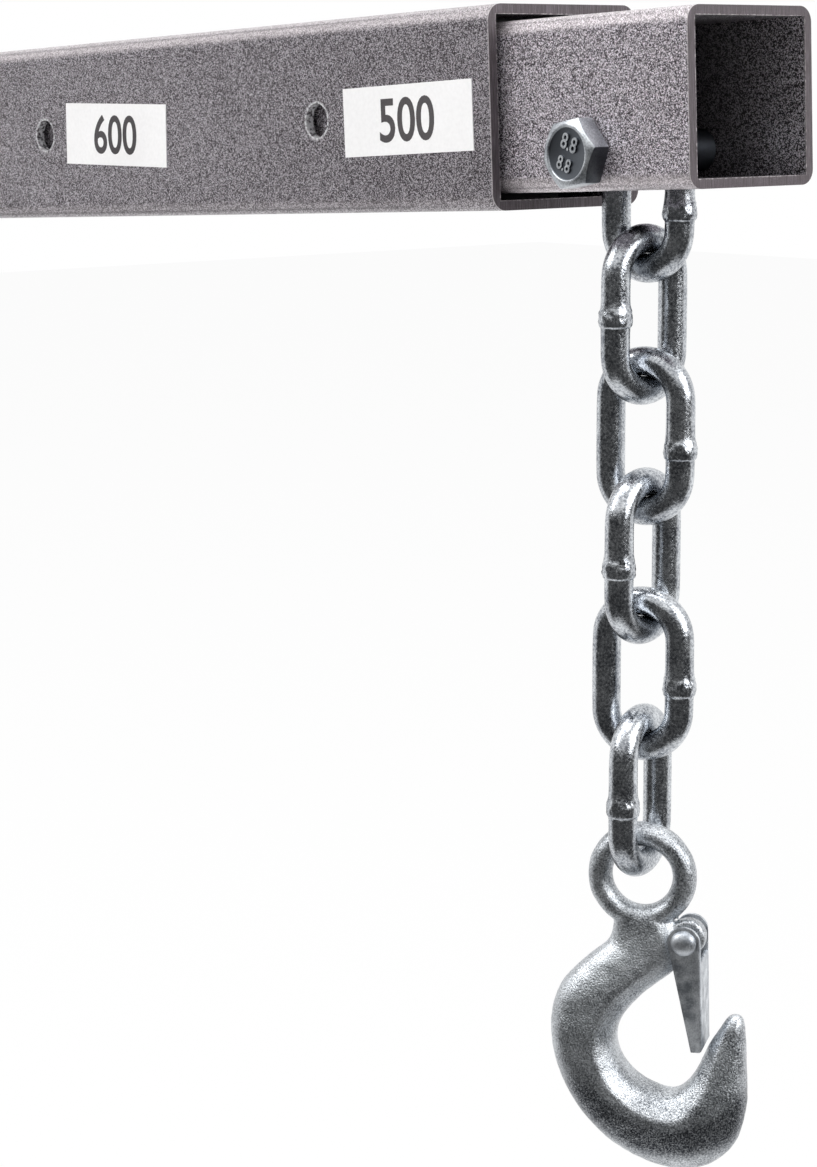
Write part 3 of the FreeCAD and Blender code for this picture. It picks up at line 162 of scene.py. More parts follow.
class Value:
    """A number that varies over a surface."""

    def __init__(self, finish, socket):
        self.finish = finish
        self.socket = socket

    def math(self, operation, first, second=None, clamp=False):
        sockets = {0: first}
        if second is not None:
            sockets[1] = second
        settings = {"operation": operation, "use_clamp": clamp}
        return self.finish.node("ShaderNodeMath", settings, sockets)[0]

    def __add__(self, other):
        return self.math("ADD", self, other)

    def __sub__(self, other):
        return self.math("SUBTRACT", self, other)

    def __rsub__(self, other):
        return self.math("SUBTRACT", other, self)

    def __mul__(self, other):
        return self.math("MULTIPLY", self, other)

    def __truediv__(self, other):
        return self.math("DIVIDE", self, other)

    def __abs__(self):
        return self.math("ABSOLUTE", self)

    __radd__ = __add__
    __rmul__ = __mul__

    def highest(self, other):
        return self.math("MAXIMUM", self, other)

    def root(self):
        return self.math("SQRT", self)

    def wrapped(self, span):
        """The distance from the nearest multiple of a span."""
        return self.math("PINGPONG", self, span / 2)

    def rise(self, start, end):
        """0 below start, 1 above end, and even between; end may lie below start."""
        return self.math("ADD", self / (end - start), -start / (end - start), clamp=True)


class Node:
    """A node whose outputs are reached by name or number, as Values."""

    def __init__(self, finish, node):
        self.finish = finish
        self.node = node

    def __getitem__(self, key):
        return Value(self.finish, self.node.outputs[key])


# %% [markdown]
# A Finish is a material while it is being made. One method adds any node: it takes the node's type,
# its settings and what its sockets get. The others stand for the few nodes that these finishes share,
# such as a noise, a ramp, a blend of two colours and a bump.

# %% A finish and its nodes


class Finish:
    """A material, or another owner of shader nodes, while it is being made."""

    def __init__(self, name, owner=None):
        self.owner = owner or bpy.data.materials.new(name)
        self.owner.use_nodes = True
        self.tree = self.owner.node_tree
        self.surface = self.tree.nodes.get("Principled BSDF")

    def feed(self, socket, value):
        if isinstance(value, Value):
            self.tree.links.new(value.socket, socket)
        else:
            socket.default_value = value

    def node(self, kind, settings=None, sockets=None):
        made = self.tree.nodes.new(kind)
        for key, value in (settings or {}).items():
            if key == "stops":
                ramp = made.color_ramp
                while len(ramp.elements) < len(value):
                    ramp.elements.new(0.5)
                for element, (place, color) in zip(ramp.elements, value):
                    element.position = place
                    element.color = color
            else:
                setattr(made, key, value)
        for key, value in (sockets or {}).items():
            self.feed(made.inputs[key], value)
        return Node(self, made)

    def wear(self, **sockets):
        """Feeds the surface shader; a name's underscores stand for its spaces."""
        for key, value in sockets.items():
            self.feed(self.surface.inputs[key.replace("_", " ")], value)

    def fed(self, key):
        """What already feeds an input of the surface shader."""
        return Value(self, self.surface.inputs[key].links[0].from_socket)

    def place(self, matrix=None):
        """Object coordinates, or the same seen from a piece's own frame."""
        point = self.node("ShaderNodeTexCoord")["Object"]
        if matrix is None:
            return point
        sockets = {"Location": matrix.translation[:], "Rotation": matrix.to_euler()[:]}
        sockets["Vector"] = point
        return self.node("ShaderNodeMapping", {"vector_type": "TEXTURE"}, sockets)[0]

    def stretched(self, point, scale):
        return self.node("ShaderNodeMapping", None, {"Vector": point, "Scale": scale})[0]

    def axes(self, point):
        parts = self.node("ShaderNodeSeparateXYZ", None, {"Vector": point})
        return parts["X"], parts["Y"], parts["Z"]

    def grain(self, point, scale, detail=2.0, roughness=0.5):
        sockets = {"Vector": point, "Scale": scale, "Detail": detail, "Roughness": roughness}
        return self.node("ShaderNodeTexNoise", None, sockets)["Fac"]

    def cells(self, point, scale):
        """Small cells, each with a random number of its own."""
        color = self.node("ShaderNodeTexVoronoi", None, {"Vector": point, "Scale": scale})["Color"]
        return self.axes(color)[0]

    def ramp(self, value, stops):
        return self.node("ShaderNodeValToRGB", {"stops": stops}, {"Fac": value})["Color"]

    def blend(self, mask, under, over):
        """One colour laid over another where the mask is 1."""
        sockets = {"Factor": mask, 6: under, 7: over}
        return self.node("ShaderNodeMix", {"data_type": "RGBA"}, sockets)[2]

    def bump(self, height, distance, strength=1.0, under=None):
        sockets = {"Height": height, "Distance": distance, "Strength": strength}
        if under is not None:
            sockets["Normal"] = under
        return self.node("ShaderNodeBump", None, sockets)["Normal"]


def rgb(red, green, blue):
    """A colour as it is seen, from 0 to 255, in the linear values that a shader takes."""
    seen = [channel / 255 for channel in (red, green, blue)]
    return tuple(s / 12.92 if s <= 0.04045 else ((s + 0.055) / 1.055) ** 2.4 for s in seen) + (1.0,)


def shade(color, share):
    """The same colour, lighter or darker."""
    return tuple(share * channel for channel in color[:3]) + (1.0,)


# %% [markdown]
# The frame's paint is a grey-mauve hammer-grain powder coat: a fine salt-and-pepper of light and
# dark flecks about half a millimetre across, with a slight bump and a soft gloss. Small random
# cells over a noise make the flecks. On the boom the same paint also knows where it is: painted
# shade inside the tube with painted light on its flecks towards the open end, a painted highlight
# along the rounded corners, scraped along the sawn ends, and bare bright metal round each drilled hole.

# %% Powder coat
PAINT_LIGHT = rgb(226, 220, 227)
PAINT_MIDDLE = rgb(116, 108, 115)
PAINT_DARK = rgb(42, 36, 40)
PAINT_INSIDE_SHADE = rgb(46, 41, 44)
PAINT_SAWN = rgb(78, 71, 74)
PAINT_WORN = rgb(196, 190, 192)
PAINT_CORNER_HIGHLIGHT = rgb(214, 206, 208)
BARE_STEEL = rgb(226, 226, 228)
FLECK = 1 / (0.28 * MM)
FLECK_BUMP = (0.12 * MM, 0.55)
# The sections of the two tubes, and the share of painted highlight on their corners above the middle.
BOOM_SIDE, BOOM_WALL = 60 * MM, 3 * MM
EXTENSION_SIDE, EXTENSION_WALL = 50 * MM, 2.8 * MM
CORNER = 5 * MM
HIGHLIGHT_ABOVE = 0.42
# The reach of the painted light inside a tube's end, and the saw's edge, its scratches and the ragged line along
# it.
LIT_REACH = 60 * MM
SAWN_RANGE = (0.25 * MM, 0.05 * MM)
SAW_SCRATCHES = (0, 3500, 160)
RAGGED = 1.1 * MM
RIM_RANGE = (-0.1 * MM, 0.25 * MM)
BURR_RANGE = (0.75 * MM, 0.5 * MM)
HOLE_FROM_TIP = 157.2 * MM
HOLE_PITCH = 155 * MM
HOLE_RADIUS = 5.4 * MM
HOLE_Z = -1 * MM
HOLE_COUNT = 4
HOLE_BARE = (0.9 * MM, 0.3 * MM)


def powder_coat(name, tone=1.0):
    """The paint with its flecks and its bump, and its colour and flecks to lay more over."""
    finish = Finish(name)
    point = finish.place()
    flecks = finish.cells(point, FLECK) * 0.75 + finish.grain(point, FLECK * 1.1, detail=1.0) * 0.25
    speckle = flecks + finish.grain(point, FLECK / 120) * 0.14 - 0.07
    tones = [shade(paint, tone) for paint in (PAINT_DARK, PAINT_MIDDLE, PAINT_LIGHT)]
    color = finish.ramp(speckle, list(zip((0.24, 0.5, 0.78), tones)))
    finish.wear(Roughness=0.56 - flecks * 0.3, Metallic=0.45, Coat_Weight=0.25, Coat_Roughness=0.22)
    finish.wear(Base_Color=color, Normal=finish.bump(flecks, *FLECK_BUMP), Specular_IOR_Level=0.5)
    return finish, color, flecks


def tube_paint(name, tone, side, wall, end, highlight_below, first_hole=None):
    """The paint of a square tube, with a painted highlight on its corners, painted shade and light inside, its
    sawn end and its holes.
    """
    finish, color, flecks = powder_coat(name, tone)
    x, y, z = finish.axes(finish.place(BOOM))
    from_middle = abs(y).highest(abs(z))
    flat = side / 2 - CORNER
    from_corner = (abs(y) - flat).highest(0) + (abs(z) - flat).highest(0)
    # The rounded corners are painted lighter, more above than below: a painted highlight.
    rounded = from_corner.rise(CORNER * 1.04, CORNER * 1.3)
    highlight_share = z.rise(-CORNER, CORNER) * (HIGHLIGHT_ABOVE - highlight_below) + highlight_below
    color = finish.blend(rounded * highlight_share * (flecks + 0.5), color, PAINT_CORNER_HIGHLIGHT)
    # Inside the tube the paint is painted dark as painted shade, and its light flecks are painted lighter towards
    # the open end as painted light.
    inside = from_middle.rise(side / 2 - 0.3 * wall, side / 2 - 0.7 * wall)
    lit_flecks = flecks.rise(0.52, 0.68) * x.rise(end - LIT_REACH, end)
    color = finish.blend(inside, color, finish.blend(lit_flecks, PAINT_INSIDE_SHADE, PAINT_LIGHT))
    sawn = x.rise(end - SAWN_RANGE[0], end - SAWN_RANGE[1])
    scratches = finish.grain(finish.stretched(finish.place(BOOM), SAW_SCRATCHES), 1.0, detail=3.0)
    saw_color = finish.blend(scratches.rise(0.45, 0.75), PAINT_SAWN, PAINT_MIDDLE)
    color = finish.blend(sawn, color, saw_color)
    ragged = finish.grain(finish.place(), 1100) * RAGGED
    rim = (x + ragged).rise(end + RIM_RANGE[0], end + RIM_RANGE[1]) * (1 - sawn) * (1 - inside * 0.4)
    burr = (abs(from_middle - (side / 2 - wall)) + ragged).rise(*BURR_RANGE) * sawn
    color = finish.blend(rim.highest(burr) * 0.8, color, PAINT_WORN)
    if first_hole is not None:
        along = (x - first_hole).wrapped(HOLE_PITCH)
        upward = z - HOLE_Z
        from_hole = (along * along + upward * upward).root()
        last_hole = first_hole - (HOLE_COUNT - 1) * HOLE_PITCH
        drilled = x.rise(last_hole - 0.5 * HOLE_PITCH, last_hole - 0.4 * HOLE_PITCH)
        bare = from_hole.rise(HOLE_RADIUS + HOLE_BARE[0], HOLE_RADIUS + HOLE_BARE[1]) * drilled
        streaks = finish.grain(finish.place(), 900).rise(0.4, 0.55)
        color = finish.blend(bare * streaks, color, BARE_STEEL)
    bump = finish.bump(flecks, *FLECK_BUMP)
    finish.wear(Base_Color=color, Normal=finish.bump(scratches * sawn, 0.2 * MM, 0.8, bump))
    return finish


mast_paint = powder_coat("mast_powder_coat")[0]
boom_paint = tube_paint(
    "boom_powder_coat", 0.7, BOOM_SIDE, BOOM_WALL, mouth, 0.15, first_hole=tip - HOLE_FROM_TIP,
)
extension_paint = tube_paint("extension_powder_coat", 1.2, EXTENSION_SIDE, EXTENSION_WALL, tip, 0.5)
print("paint flecks %.2f mm across" % (1 / FLECK / MM))

# %% [markdown]
# Zinc plate is a metal: nearly all that is seen is what it mirrors, so its colour is close to white
# with a trace of blue, and the detail is in its roughness and bump. The chain is barrel-plated and
# bright, with drawn lines along the wire that show as a faint mottle. The forging is the same zinc
# over a grainy scale, so its bump is coarser and frost-like patches lie between the bright ones.

# %% Zinc and steel
ZINC_BRIGHT = rgb(226, 230, 234)
ZINC_DULL = rgb(150, 155, 162)
ZINC_SHADE = rgb(96, 100, 106)
ZINC_PAINTED_SHADE = rgb(50, 53, 60)


def zinc(name, grain_mm, roughness, bump_mm, patch_mm=6.0, dull=ZINC_DULL, contrast=0.5):
    """Zinc plate: its grain's size, how rough it is, and how deep the grain stands."""
    finish = Finish(name)
    point = finish.place()
    grain = finish.grain(point, 1 / (grain_mm * MM), roughness=0.6)
    patches = finish.grain(point, 1 / (patch_mm * MM), detail=3.0)
    tone = grain * contrast + patches * (1 - contrast)
    finish.wear(Base_Color=finish.ramp(tone, [(0.36, dull), (0.62, ZINC_BRIGHT)]))
    finish.wear(Metallic=1.0, Roughness=grain.rise(0.25, 0.8) * 0.16 + patches * 0.1 + roughness)
    finish.wear(Normal=finish.bump(grain, bump_mm * MM, 0.6))
    return finish


def machined(name, color, roughness, line_mm=0.4, across=(1, 1, 1)):
    """A ground or turned metal: fine lines, nearly even."""
    finish = Finish(name)
    point = finish.stretched(finish.place(), across)
    lines = finish.grain(point, 1 / (line_mm * MM), detail=3.0)
    finish.wear(Base_Color=finish.ramp(lines, [(0.3, shade(color, 0.72)), (0.6, color)]), Metallic=1.0)
    finish.wear(Roughness=lines * 0.14 + roughness, Normal=finish.bump(lines, 0.02 * MM, 0.4))
    return finish


chain_zinc = zinc("chain_zinc", 0.7, 0.11, 0.11, dull=rgb(118, 122, 130), contrast=0.65)
bolt_zinc = zinc("bolt_zinc", 0.5, 0.12, 0.03, contrast=0.3)
forged_zinc = zinc("forged_zinc", 0.5, 0.24, 0.3, patch_mm=9.0, dull=ZINC_SHADE, contrast=0.72)
sheet_zinc = zinc("sheet_zinc", 0.45, 0.32, 0.03, patch_mm=4.0, contrast=0.35)
spring_finish = machined("spring_wire", rgb(176, 176, 180), 0.22)
ram_chrome = machined("ram_chrome", rgb(222, 224, 228), 0.08, across=(1, 1, 0.05))
bronze_finish = machined("bushing_bronze", rgb(196, 150, 92), 0.3)
print(len(bpy.data.materials), "materials so far")

# %% [markdown]
# The pieces out of the photograph's view get plain shop finishes: satin black enamel on the jack,
# natural nylon on the pads and bushings, black plastic and rubber. Each has its own grain, because
# even a plain moulding is never one flat colour.

# %% Enamel, nylon, plastic, rubber, vinyl and ink


def moulded(name, low, high, roughness, grain_mm=1.2, bump_mm=0.05, coat=0.0):
    """A paint or plastic whose colour drifts between two close tones over a fine bump."""
    finish = Finish(name)
    point = finish.place()
    grain = finish.grain(point, 1 / (grain_mm * MM))
    drift = finish.grain(point, 1 / (40 * MM), detail=3.0)
    finish.wear(Base_Color=finish.ramp(grain * 0.4 + drift * 0.6, [(0.35, low), (0.65, high)]))
    finish.wear(Roughness=grain * 0.15 + roughness, Coat_Weight=coat, Coat_Roughness=0.12)
    finish.wear(Normal=finish.bump(grain, bump_mm * MM, 0.5))
    return finish


jack_enamel = moulded("jack_enamel", rgb(26, 26, 28), rgb(40, 40, 43), 0.32, coat=0.3)
nylon_finish = moulded("natural_nylon", rgb(214, 210, 198), rgb(232, 229, 218), 0.42)
black_plastic = moulded("black_plastic", rgb(24, 24, 25), rgb(38, 38, 39), 0.5, grain_mm=0.8)
grip_rubber = moulded("grip_rubber", rgb(22, 22, 23), rgb(34, 34, 35), 0.66, grain_mm=0.6, bump_mm=0.08)
label_vinyl = moulded("label_vinyl", rgb(240, 239, 239), rgb(250, 249, 249), 0.3, bump_mm=0.01)
label_ink = moulded("label_ink", rgb(58, 54, 56), rgb(80, 76, 78), 0.55, grain_mm=0.7, bump_mm=0.01)
print(len(bpy.data.materials), "materials so far")

# %% [markdown]
# Every CAD node gets one of these finishes. The table says which, by the record's own material
# slots, and the two tubes of the boom get the paint that knows their ends.

# %% Finishes on the CAD nodes
SLOT_FINISHES = {
    "frame_paint": mast_paint,
    "zinc_fastener": bolt_zinc,
    "zinc_chain": chain_zinc,
    "galvanised_forging": forged_zinc,
    "zinc_sheet": sheet_zinc,
    "spring_steel": spring_finish,
    "jack_paint": jack_enamel,
    "bright_steel": ram_chrome,
    "bronze": bronze_finish,
    "nylon": nylon_finish,
    "black_plastic": black_plastic,
    "rubber_grip": grip_rubber,
    "label_vinyl": label_vinyl,
}
NODE_FINISHES = {
    "boom_tube": boom_paint,
    "extension_tube": extension_paint,
    "mouth_slide_pads": black_plastic,
}


def coat(piece, finish):
    """Gives an object one material all over."""
    piece.data.materials.clear()
    piece.data.materials.append(finish.owner)


for subpart in frame["record"]["subparts"]:
    name = subpart["node"]
    coat(nodes[name], NODE_FINISHES.get(name) or SLOT_FINISHES[subpart["material_slot"]])


def fit(piece, finish, body, slot, *replaced):
    """Finishes a new piece: its material, the body it rides on and the nodes it stands for."""
    coat(piece, finish)
    if replaced:
        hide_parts(*replaced)
    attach(piece, body)
    print("%s: %d faces on %s" % (piece.name, len(piece.data.polygons), body))
    return piece


# %% [markdown]
# A link of welded chain is one bar of wire bent into a loop and butt-welded in the middle of one
# side, where the upset metal stands out in a rough collar. As by hand: a circle of the wire is
# extruded up one side, swollen where the weld is, spun over the crown, extruded down the other side
# and spun back to its start. The collar ends in a sharp step below, which catches the light.

# %% Chain links
LINK_WIRE = 8.7 * MM
LINK_OUTSIDE = 31.5 * MM
LINK_PLAY = 0.12 * MM
WIRE_SIDES = 28
CROWN_STEPS = 18
# Heights about the weld and how far the wire swells there, in mm and as shares of its radius.
WELD_RINGS = [(-3.3, 1.0), (-3.1, 1.03), (-3.0, 1.12), (-1.4, 1.17), (0.4, 1.15), (2.0, 1.08), (3.4, 1.0)]
# How far each link's weld lies below its middle, in mm.
WELD_DROPS = [5.0, 0.0, 3.0, 2.0, 2.7, 2.4]
WELD_ROUGH = 0.42 * MM
WELD_GRAIN = 1.1 * MM
WELD_REACH = 3.6 * MM

bar_aside = (LINK_OUTSIDE - LINK_WIRE) / 2
link_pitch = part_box("chain_link_1")[0].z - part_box("chain_link_2")[0].z
bend_height = (link_pitch + LINK_PLAY + 2 * LINK_WIRE - LINK_OUTSIDE) / 2


def circle(sides, radius, at=(0, 0, 0)):
    bpy.ops.mesh.primitive_circle_add(vertices=sides, radius=radius, location=at)
    bpy.ops.object.transform_apply(location=True)
    return bpy.context.object


def extrude(x=0.0, y=0.0, z=0.0):
    bpy.ops.mesh.extrude_region_move(TRANSFORM_OT_translate={"value": (x, y, z)})


def raise_ring(stations, aside=0.0):
    """Extrudes the selected ring up through stations of radius and height."""
    radius, height = stations[0]
    for next_radius, next_height in stations[1:]:
        extrude(z=next_height - height)
        ratio = next_radius / radius
        bpy.ops.transform.resize(value=(ratio, ratio, 1), center_override=(aside, 0, next_height))
        radius, height = next_radius, next_height


def make_link(weld_height):
    """A link standing in X-Z, welded in its bar on the +X side."""
    link = circle(WIRE_SIDES, LINK_WIRE / 2, (bar_aside, 0, -bend_height))
    edit_all(link)
    weld = [(swell, weld_height + ring * MM) for ring, swell in WELD_RINGS]
    ends = [(1.0, 0.6 * bend_height), (1.0, bend_height)]
    raise_ring([(1.0, -bend_height)] + weld + ends, bar_aside)
    bpy.ops.mesh.spin(steps=CROWN_STEPS, angle=math.pi, center=(0, 0, bend_height), axis=ALONG_Y)
    extrude(z=-2 * bend_height)
    bpy.ops.mesh.spin(steps=CROWN_STEPS, angle=math.pi, center=(0, 0, -bend_height), axis=ALONG_Y)
    object_mode()
    tidy_shell(link, 0.05 * MM)
    apply_modifier(link, "SUBSURF", levels=1, render_levels=1)
    for vertex in link.data.vertices:
        point = vertex.co
        near_weld = max(0.0, 1 - abs(point.z - weld_height) / WELD_REACH) if point.x > 0 else 0.0
        outward = (point - Vector((bar_aside, 0, point.z))).normalized()
        vertex.co += outward * noise.noise(point / WELD_GRAIN) * WELD_ROUGH * min(1.0, 2 * near_weld)
    return smooth(link, 60)


print("bars %.1f mm long between the bends" % (2 * bend_height / MM))

# %% [markdown]
# Each link hangs in the plane that its joint turns in, so its turn about Z is read from that joint's
# axis. The first link swings on the bolt instead, and its plane is read from its own node. The welds
# alternate: on the far bar of odd links and on the near bar of even ones.

# %% Six links


def plane_of(name):
    """The middle of a hanging node, and the horizontal direction that it spreads out in most."""
    low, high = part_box(name)
    middle = (low + high) / 2
    spread = Vector((0, 0))
    for vertex in nodes[name].data.vertices:
        offset = (vertex.co - middle).xy
        if offset.x < 0:
            offset = -offset
        spread += offset * offset.length
    return middle, Vector((spread.x, spread.y, 0)).normalized()


for number, drop in enumerate(WELD_DROPS, start=1):
    middle, across = plane_of("chain_link_%d" % number)
    if number > 1:
        across = Vector(joints["link_%d_swing" % number]["axis"]).cross(UPWARD).normalized()
    if number % 2 == 0:
        across = -across
    name = "link_%d" % number
    link = settle(make_link(-drop * MM), name, frame_matrix(across, UPWARD.cross(across), UPWARD, middle))
    fit(link, chain_zinc, name, "zinc_chain", "chain_" + name)

# %% [markdown]
# The hook is a forging, and its section changes all along the bend. A ring of points is drawn across
# its foot at the eye, and is extruded and drawn anew at each station. A ring is thickest a third of
# the way out from the throat, which gives the ridge that runs round the bowl.

# %% Hook: the forging
# Points on the inside and outside of the bend and the thickness there, from the eye's middle, in mm.
HOOK_STATIONS = [
    ((7.5, -9.0), (-7.5, -9.0), 8.5),
    ((11.0, -15.5), (-8.8, -16.0), 10.0),
    ((15.5, -20.5), (-9.6, -20.6), 11.5),
    ((10.6, -28.4), (-15.2, -24.6), 13.5),
    ((4.5, -32.6), (-22.4, -31.4), 15.5),
    ((-2.2, -39.0), (-26.7, -39.0), 17.0),
    ((-6.8, -45.6), (-27.8, -48.3), 18.5),
    ((-7.7, -52.0), (-26.0, -58.0), 19.5),
    ((-5.2, -58.0), (-22.0, -68.3), 20.2),
    ((-1.0, -62.6), (-13.2, -79.6), 20.8),
    ((4.8, -65.3), (-1.2, -87.0), 21.0),
    ((9.4, -65.8), (10.4, -90.3), 20.6),
    ((12.6, -64.4), (22.2, -88.4), 19.5),
    ((15.2, -61.4), (29.6, -81.0), 17.6),
    ((17.6, -57.2), (32.4, -71.0), 15.0),
    ((19.4, -52.8), (32.3, -60.9), 12.4),
    ((21.6, -48.6), (31.7, -52.2), 10.4),
    ((23.8, -45.0), (31.4, -46.8), 8.6),
    ((25.1, -42.8), (31.2, -43.6), 7.2),
    ((26.3, -41.3), (30.6, -41.4), 5.2),
    ((27.5, -40.5), (29.6, -40.5), 2.4),
]
# Half a ring: how far out from the throat and how thick, as shares.
RING_SHARES = [
    (0.0, 0.0), (0.012, 0.28), (0.045, 0.5), (0.11, 0.68), (0.19, 0.84), (0.255, 0.96),
    (0.295, 1.0), (0.325, 1.01), (0.4, 1.0), (0.52, 0.98), (0.65, 0.94), (0.77, 0.86),
    (0.87, 0.71), (0.945, 0.5), (0.982, 0.28), (1.0, 0.0),
]
CAD_EYE = 15.75 * MM
HOOK_SHARE = 1.03
EYE_SAG = 0.2 * MM
HOOK_ASIDE = 0.9 * MM

hook_normal = Vector(joints["hook_swing"]["axis"])
hook_across = hook_normal.cross(UPWARD).normalized()
eye_at = Vector(joints["hook_swing"]["pos_m"])
eye_at.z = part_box("hook_body")[1].z - CAD_EYE - EYE_SAG
HOOK = frame_matrix(hook_across, hook_normal, UPWARD, eye_at + hook_across * HOOK_ASIDE)
LATCH_PIVOT = HOOK.inverted() @ Vector(joints["latch_open"]["pos_m"])


def ring_of(points):
    """A closed ring of points: a circle whose points are put where they belong."""
    ring = circle(len(points), 1)
    for vertex, point in zip(ring.data.vertices, points):
        vertex.co = point
    return ring


def cap_ends(piece, merge=0.01 * MM):
    """Closes the open rings of a piece, each with one face."""
    edit_all(piece)
    bpy.ops.mesh.select_mode(type="EDGE")
    bpy.ops.mesh.select_all(action="DESELECT")
    bpy.ops.mesh.select_non_manifold()
    bpy.ops.mesh.edge_face_add()
    object_mode()
    return tidy_shell(piece, merge)


def hook_ring(inside, outside, thick):
    points = []
    for side, shares in ((-1, RING_SHARES), (1, RING_SHARES[-2:0:-1])):
        for out_share, thick_share in shares:
            x, z = [a + (b - a) * out_share for a, b in zip(inside, outside)]
            points.append(Vector((x, side * thick * thick_share / 2, z)) * HOOK_SHARE * MM)
    return points


bend = ring_of(hook_ring(*HOOK_STATIONS[0]))
ring_size = len(bend.data.vertices)
edit_all(bend)
for station in HOOK_STATIONS[1:]:
    extrude()
    object_mode()
    for vertex, point in zip(list(bend.data.vertices)[-ring_size:], hook_ring(*station)):
        vertex.co = point
    bpy.ops.object.mode_set(mode="EDIT")
object_mode()
cap_ends(bend)
apply_modifier(bend, "SUBSURF", levels=2, render_levels=2)
print("bend: %d rings of %d points" % (len(HOOK_STATIONS), ring_size))

# %% [markdown]
# The forging is one piece with its eye and with the boss that carries the latch. The eye is a torus
# and the boss a short cylinder. All three are joined, remeshed into one skin and smoothed, which
# leaves soft fillets where they meet, and the skin is then dented a little by noise. The zinc has
# painted shade inside the bowl, and painted light in bright flecks on the shank and the flank.

# %% Hook: eye, boss and skin
EYE_RADIUS = 13.0 * MM
EYE_BAR = 3.7 * MM
EYE_THICK_SHARE = 1.18
BOSS_RADIUS = 5.6 * MM
BOSS_THICK = 5.2 * MM
BOSS_EDGE = 1.2 * MM
SKIN = 0.5 * MM
# The sizes of the dents and how deep they are.
DENTS = [(7 * MM, 0.22 * MM), (2.2 * MM, 0.07 * MM)]
# Where each mask of the forging's colour starts and ends: the painted shade inside the bowl, between
# two distances from its middle and below a height, and the painted light on the flank and the shank.
BOWL = (10 * MM, -50 * MM)
BOWL_SHADE_OUT = (38 * MM, 34 * MM)
BOWL_SHADE_IN = (25 * MM, 28 * MM)
BOWL_SHADE_BELOW = (-56 * MM, -68 * MM)
FLANK_OUT = (-16 * MM, -30 * MM)
FLANK_ABOVE = (-72 * MM, -56 * MM)
SHANK_ABOVE = (-38 * MM, -24 * MM)
SHANK_BELOW = (-13 * MM, -18 * MM)
LIGHT_GRAIN = 0.45 * MM


def join(pieces):
    only(pieces[0])
    for piece in pieces:
        piece.select_set(True)
    bpy.ops.object.join()
    return pieces[0]


bpy.ops.mesh.primitive_torus_add(
    major_radius=EYE_RADIUS, minor_radius=EYE_BAR, major_segments=96, minor_segments=32,
    rotation=(math.pi / 2, 0, 0),
)
eye = bpy.context.object
bpy.ops.object.transform_apply(rotation=True)
bpy.ops.transform.resize(value=(1, EYE_THICK_SHARE, 1), center_override=(0, 0, 0))
bpy.ops.mesh.primitive_cylinder_add(
    vertices=48, radius=BOSS_RADIUS, depth=BOSS_THICK, location=LATCH_PIVOT, rotation=(math.pi / 2, 0, 0),
)
boss = apply_modifier(bpy.context.object, "BEVEL", width=BOSS_EDGE, segments=3)
for piece in (eye, boss):
    settle(piece, piece.name)
forging = join([bend, eye, boss])
apply_modifier(forging, "REMESH", mode="VOXEL", voxel_size=SKIN)
apply_modifier(forging, "SMOOTH", factor=0.5, iterations=6)
outwards = [vertex.normal.copy() for vertex in forging.data.vertices]
for vertex, outward in zip(forging.data.vertices, outwards):
    vertex.co += outward * sum(noise.noise(vertex.co / size) * depth for size, depth in DENTS)

# The inside of the bowl is painted dark as painted shade, and the flank and the shank get bright flecks as painted
# light.
x, z = forged_zinc.axes(forged_zinc.place(HOOK))[::2]
aside, above = x - BOWL[0], z - BOWL[1]
from_bowl = (aside * aside + above * above).root()
bowl_shade = from_bowl.rise(*BOWL_SHADE_OUT) * from_bowl.rise(*BOWL_SHADE_IN) * z.rise(*BOWL_SHADE_BELOW)
painted_light = (x + z * 0.3).rise(*FLANK_OUT) * z.rise(*FLANK_ABOVE) * 0.6
painted_light = painted_light.highest(z.rise(*SHANK_ABOVE) * z.rise(*SHANK_BELOW))
grains = forged_zinc.grain(forged_zinc.place(), 1 / LIGHT_GRAIN).rise(0.4, 0.6)
tone = forged_zinc.blend(painted_light * (grains * 0.7 + 0.1), forged_zinc.fed("Base Color"), ZINC_BRIGHT)
forged_zinc.wear(Base_Color=forged_zinc.blend(bowl_shade * (0.95 - grains * 0.7), tone, ZINC_PAINTED_SHADE))
smooth(settle(forging, "hook_forging", HOOK), 180)
fit(forging, forged_zinc, "hook", "galvanised_forging", "hook_body")

# %% [markdown]
# The latch is one piece of folded sheet: two side plates round the rivet, joined down their outer
# edge by a web that starts below it. A block with the outline of the side plates is cut by a second
# block that leaves the plates and the web, the folds are rounded with a bevel, and the channel is
# drawn in towards its foot.

# %% Latch
LATCH_SHEET = 1.3 * MM
LATCH_RADIUS = 5.0 * MM
LATCH_FOOT_WIDTH = 3.4 * MM
LATCH_WEB_TOP = -6.2 * MM
LATCH_TAPER = 0.94
LATCH_LEAN = math.radians(-1.6)
LATCH_FOLD = 1.0 * MM
LATCH_EDGE = 0.14 * MM
BEYOND = 20 * MM


def break_edges(piece, width, degrees):
    """Bevels every edge that turns by more than an angle."""
    angle = math.radians(degrees)
    return apply_modifier(piece, "BEVEL", width=width, segments=2, limit_method="ANGLE", angle_limit=angle)


def cut(piece, tool, operation="DIFFERENCE"):
    apply_modifier(piece, "BOOLEAN", operation=operation, solver="EXACT", object=tool)
    bpy.data.objects.remove(tool)
    return piece


def plate_of(outline, half_width):
    """A plate of any outline in the X-Z plane, as thick as twice the half width."""
    plate = ring_of([Vector((x, -half_width, z)) for x, z in outline])
    edit_all(plate)
    bpy.ops.mesh.edge_face_add()
    extrude(y=2 * half_width)
    bpy.ops.mesh.select_all(action="SELECT")
    bpy.ops.mesh.normals_make_consistent(inside=False)
    object_mode()
    return plate


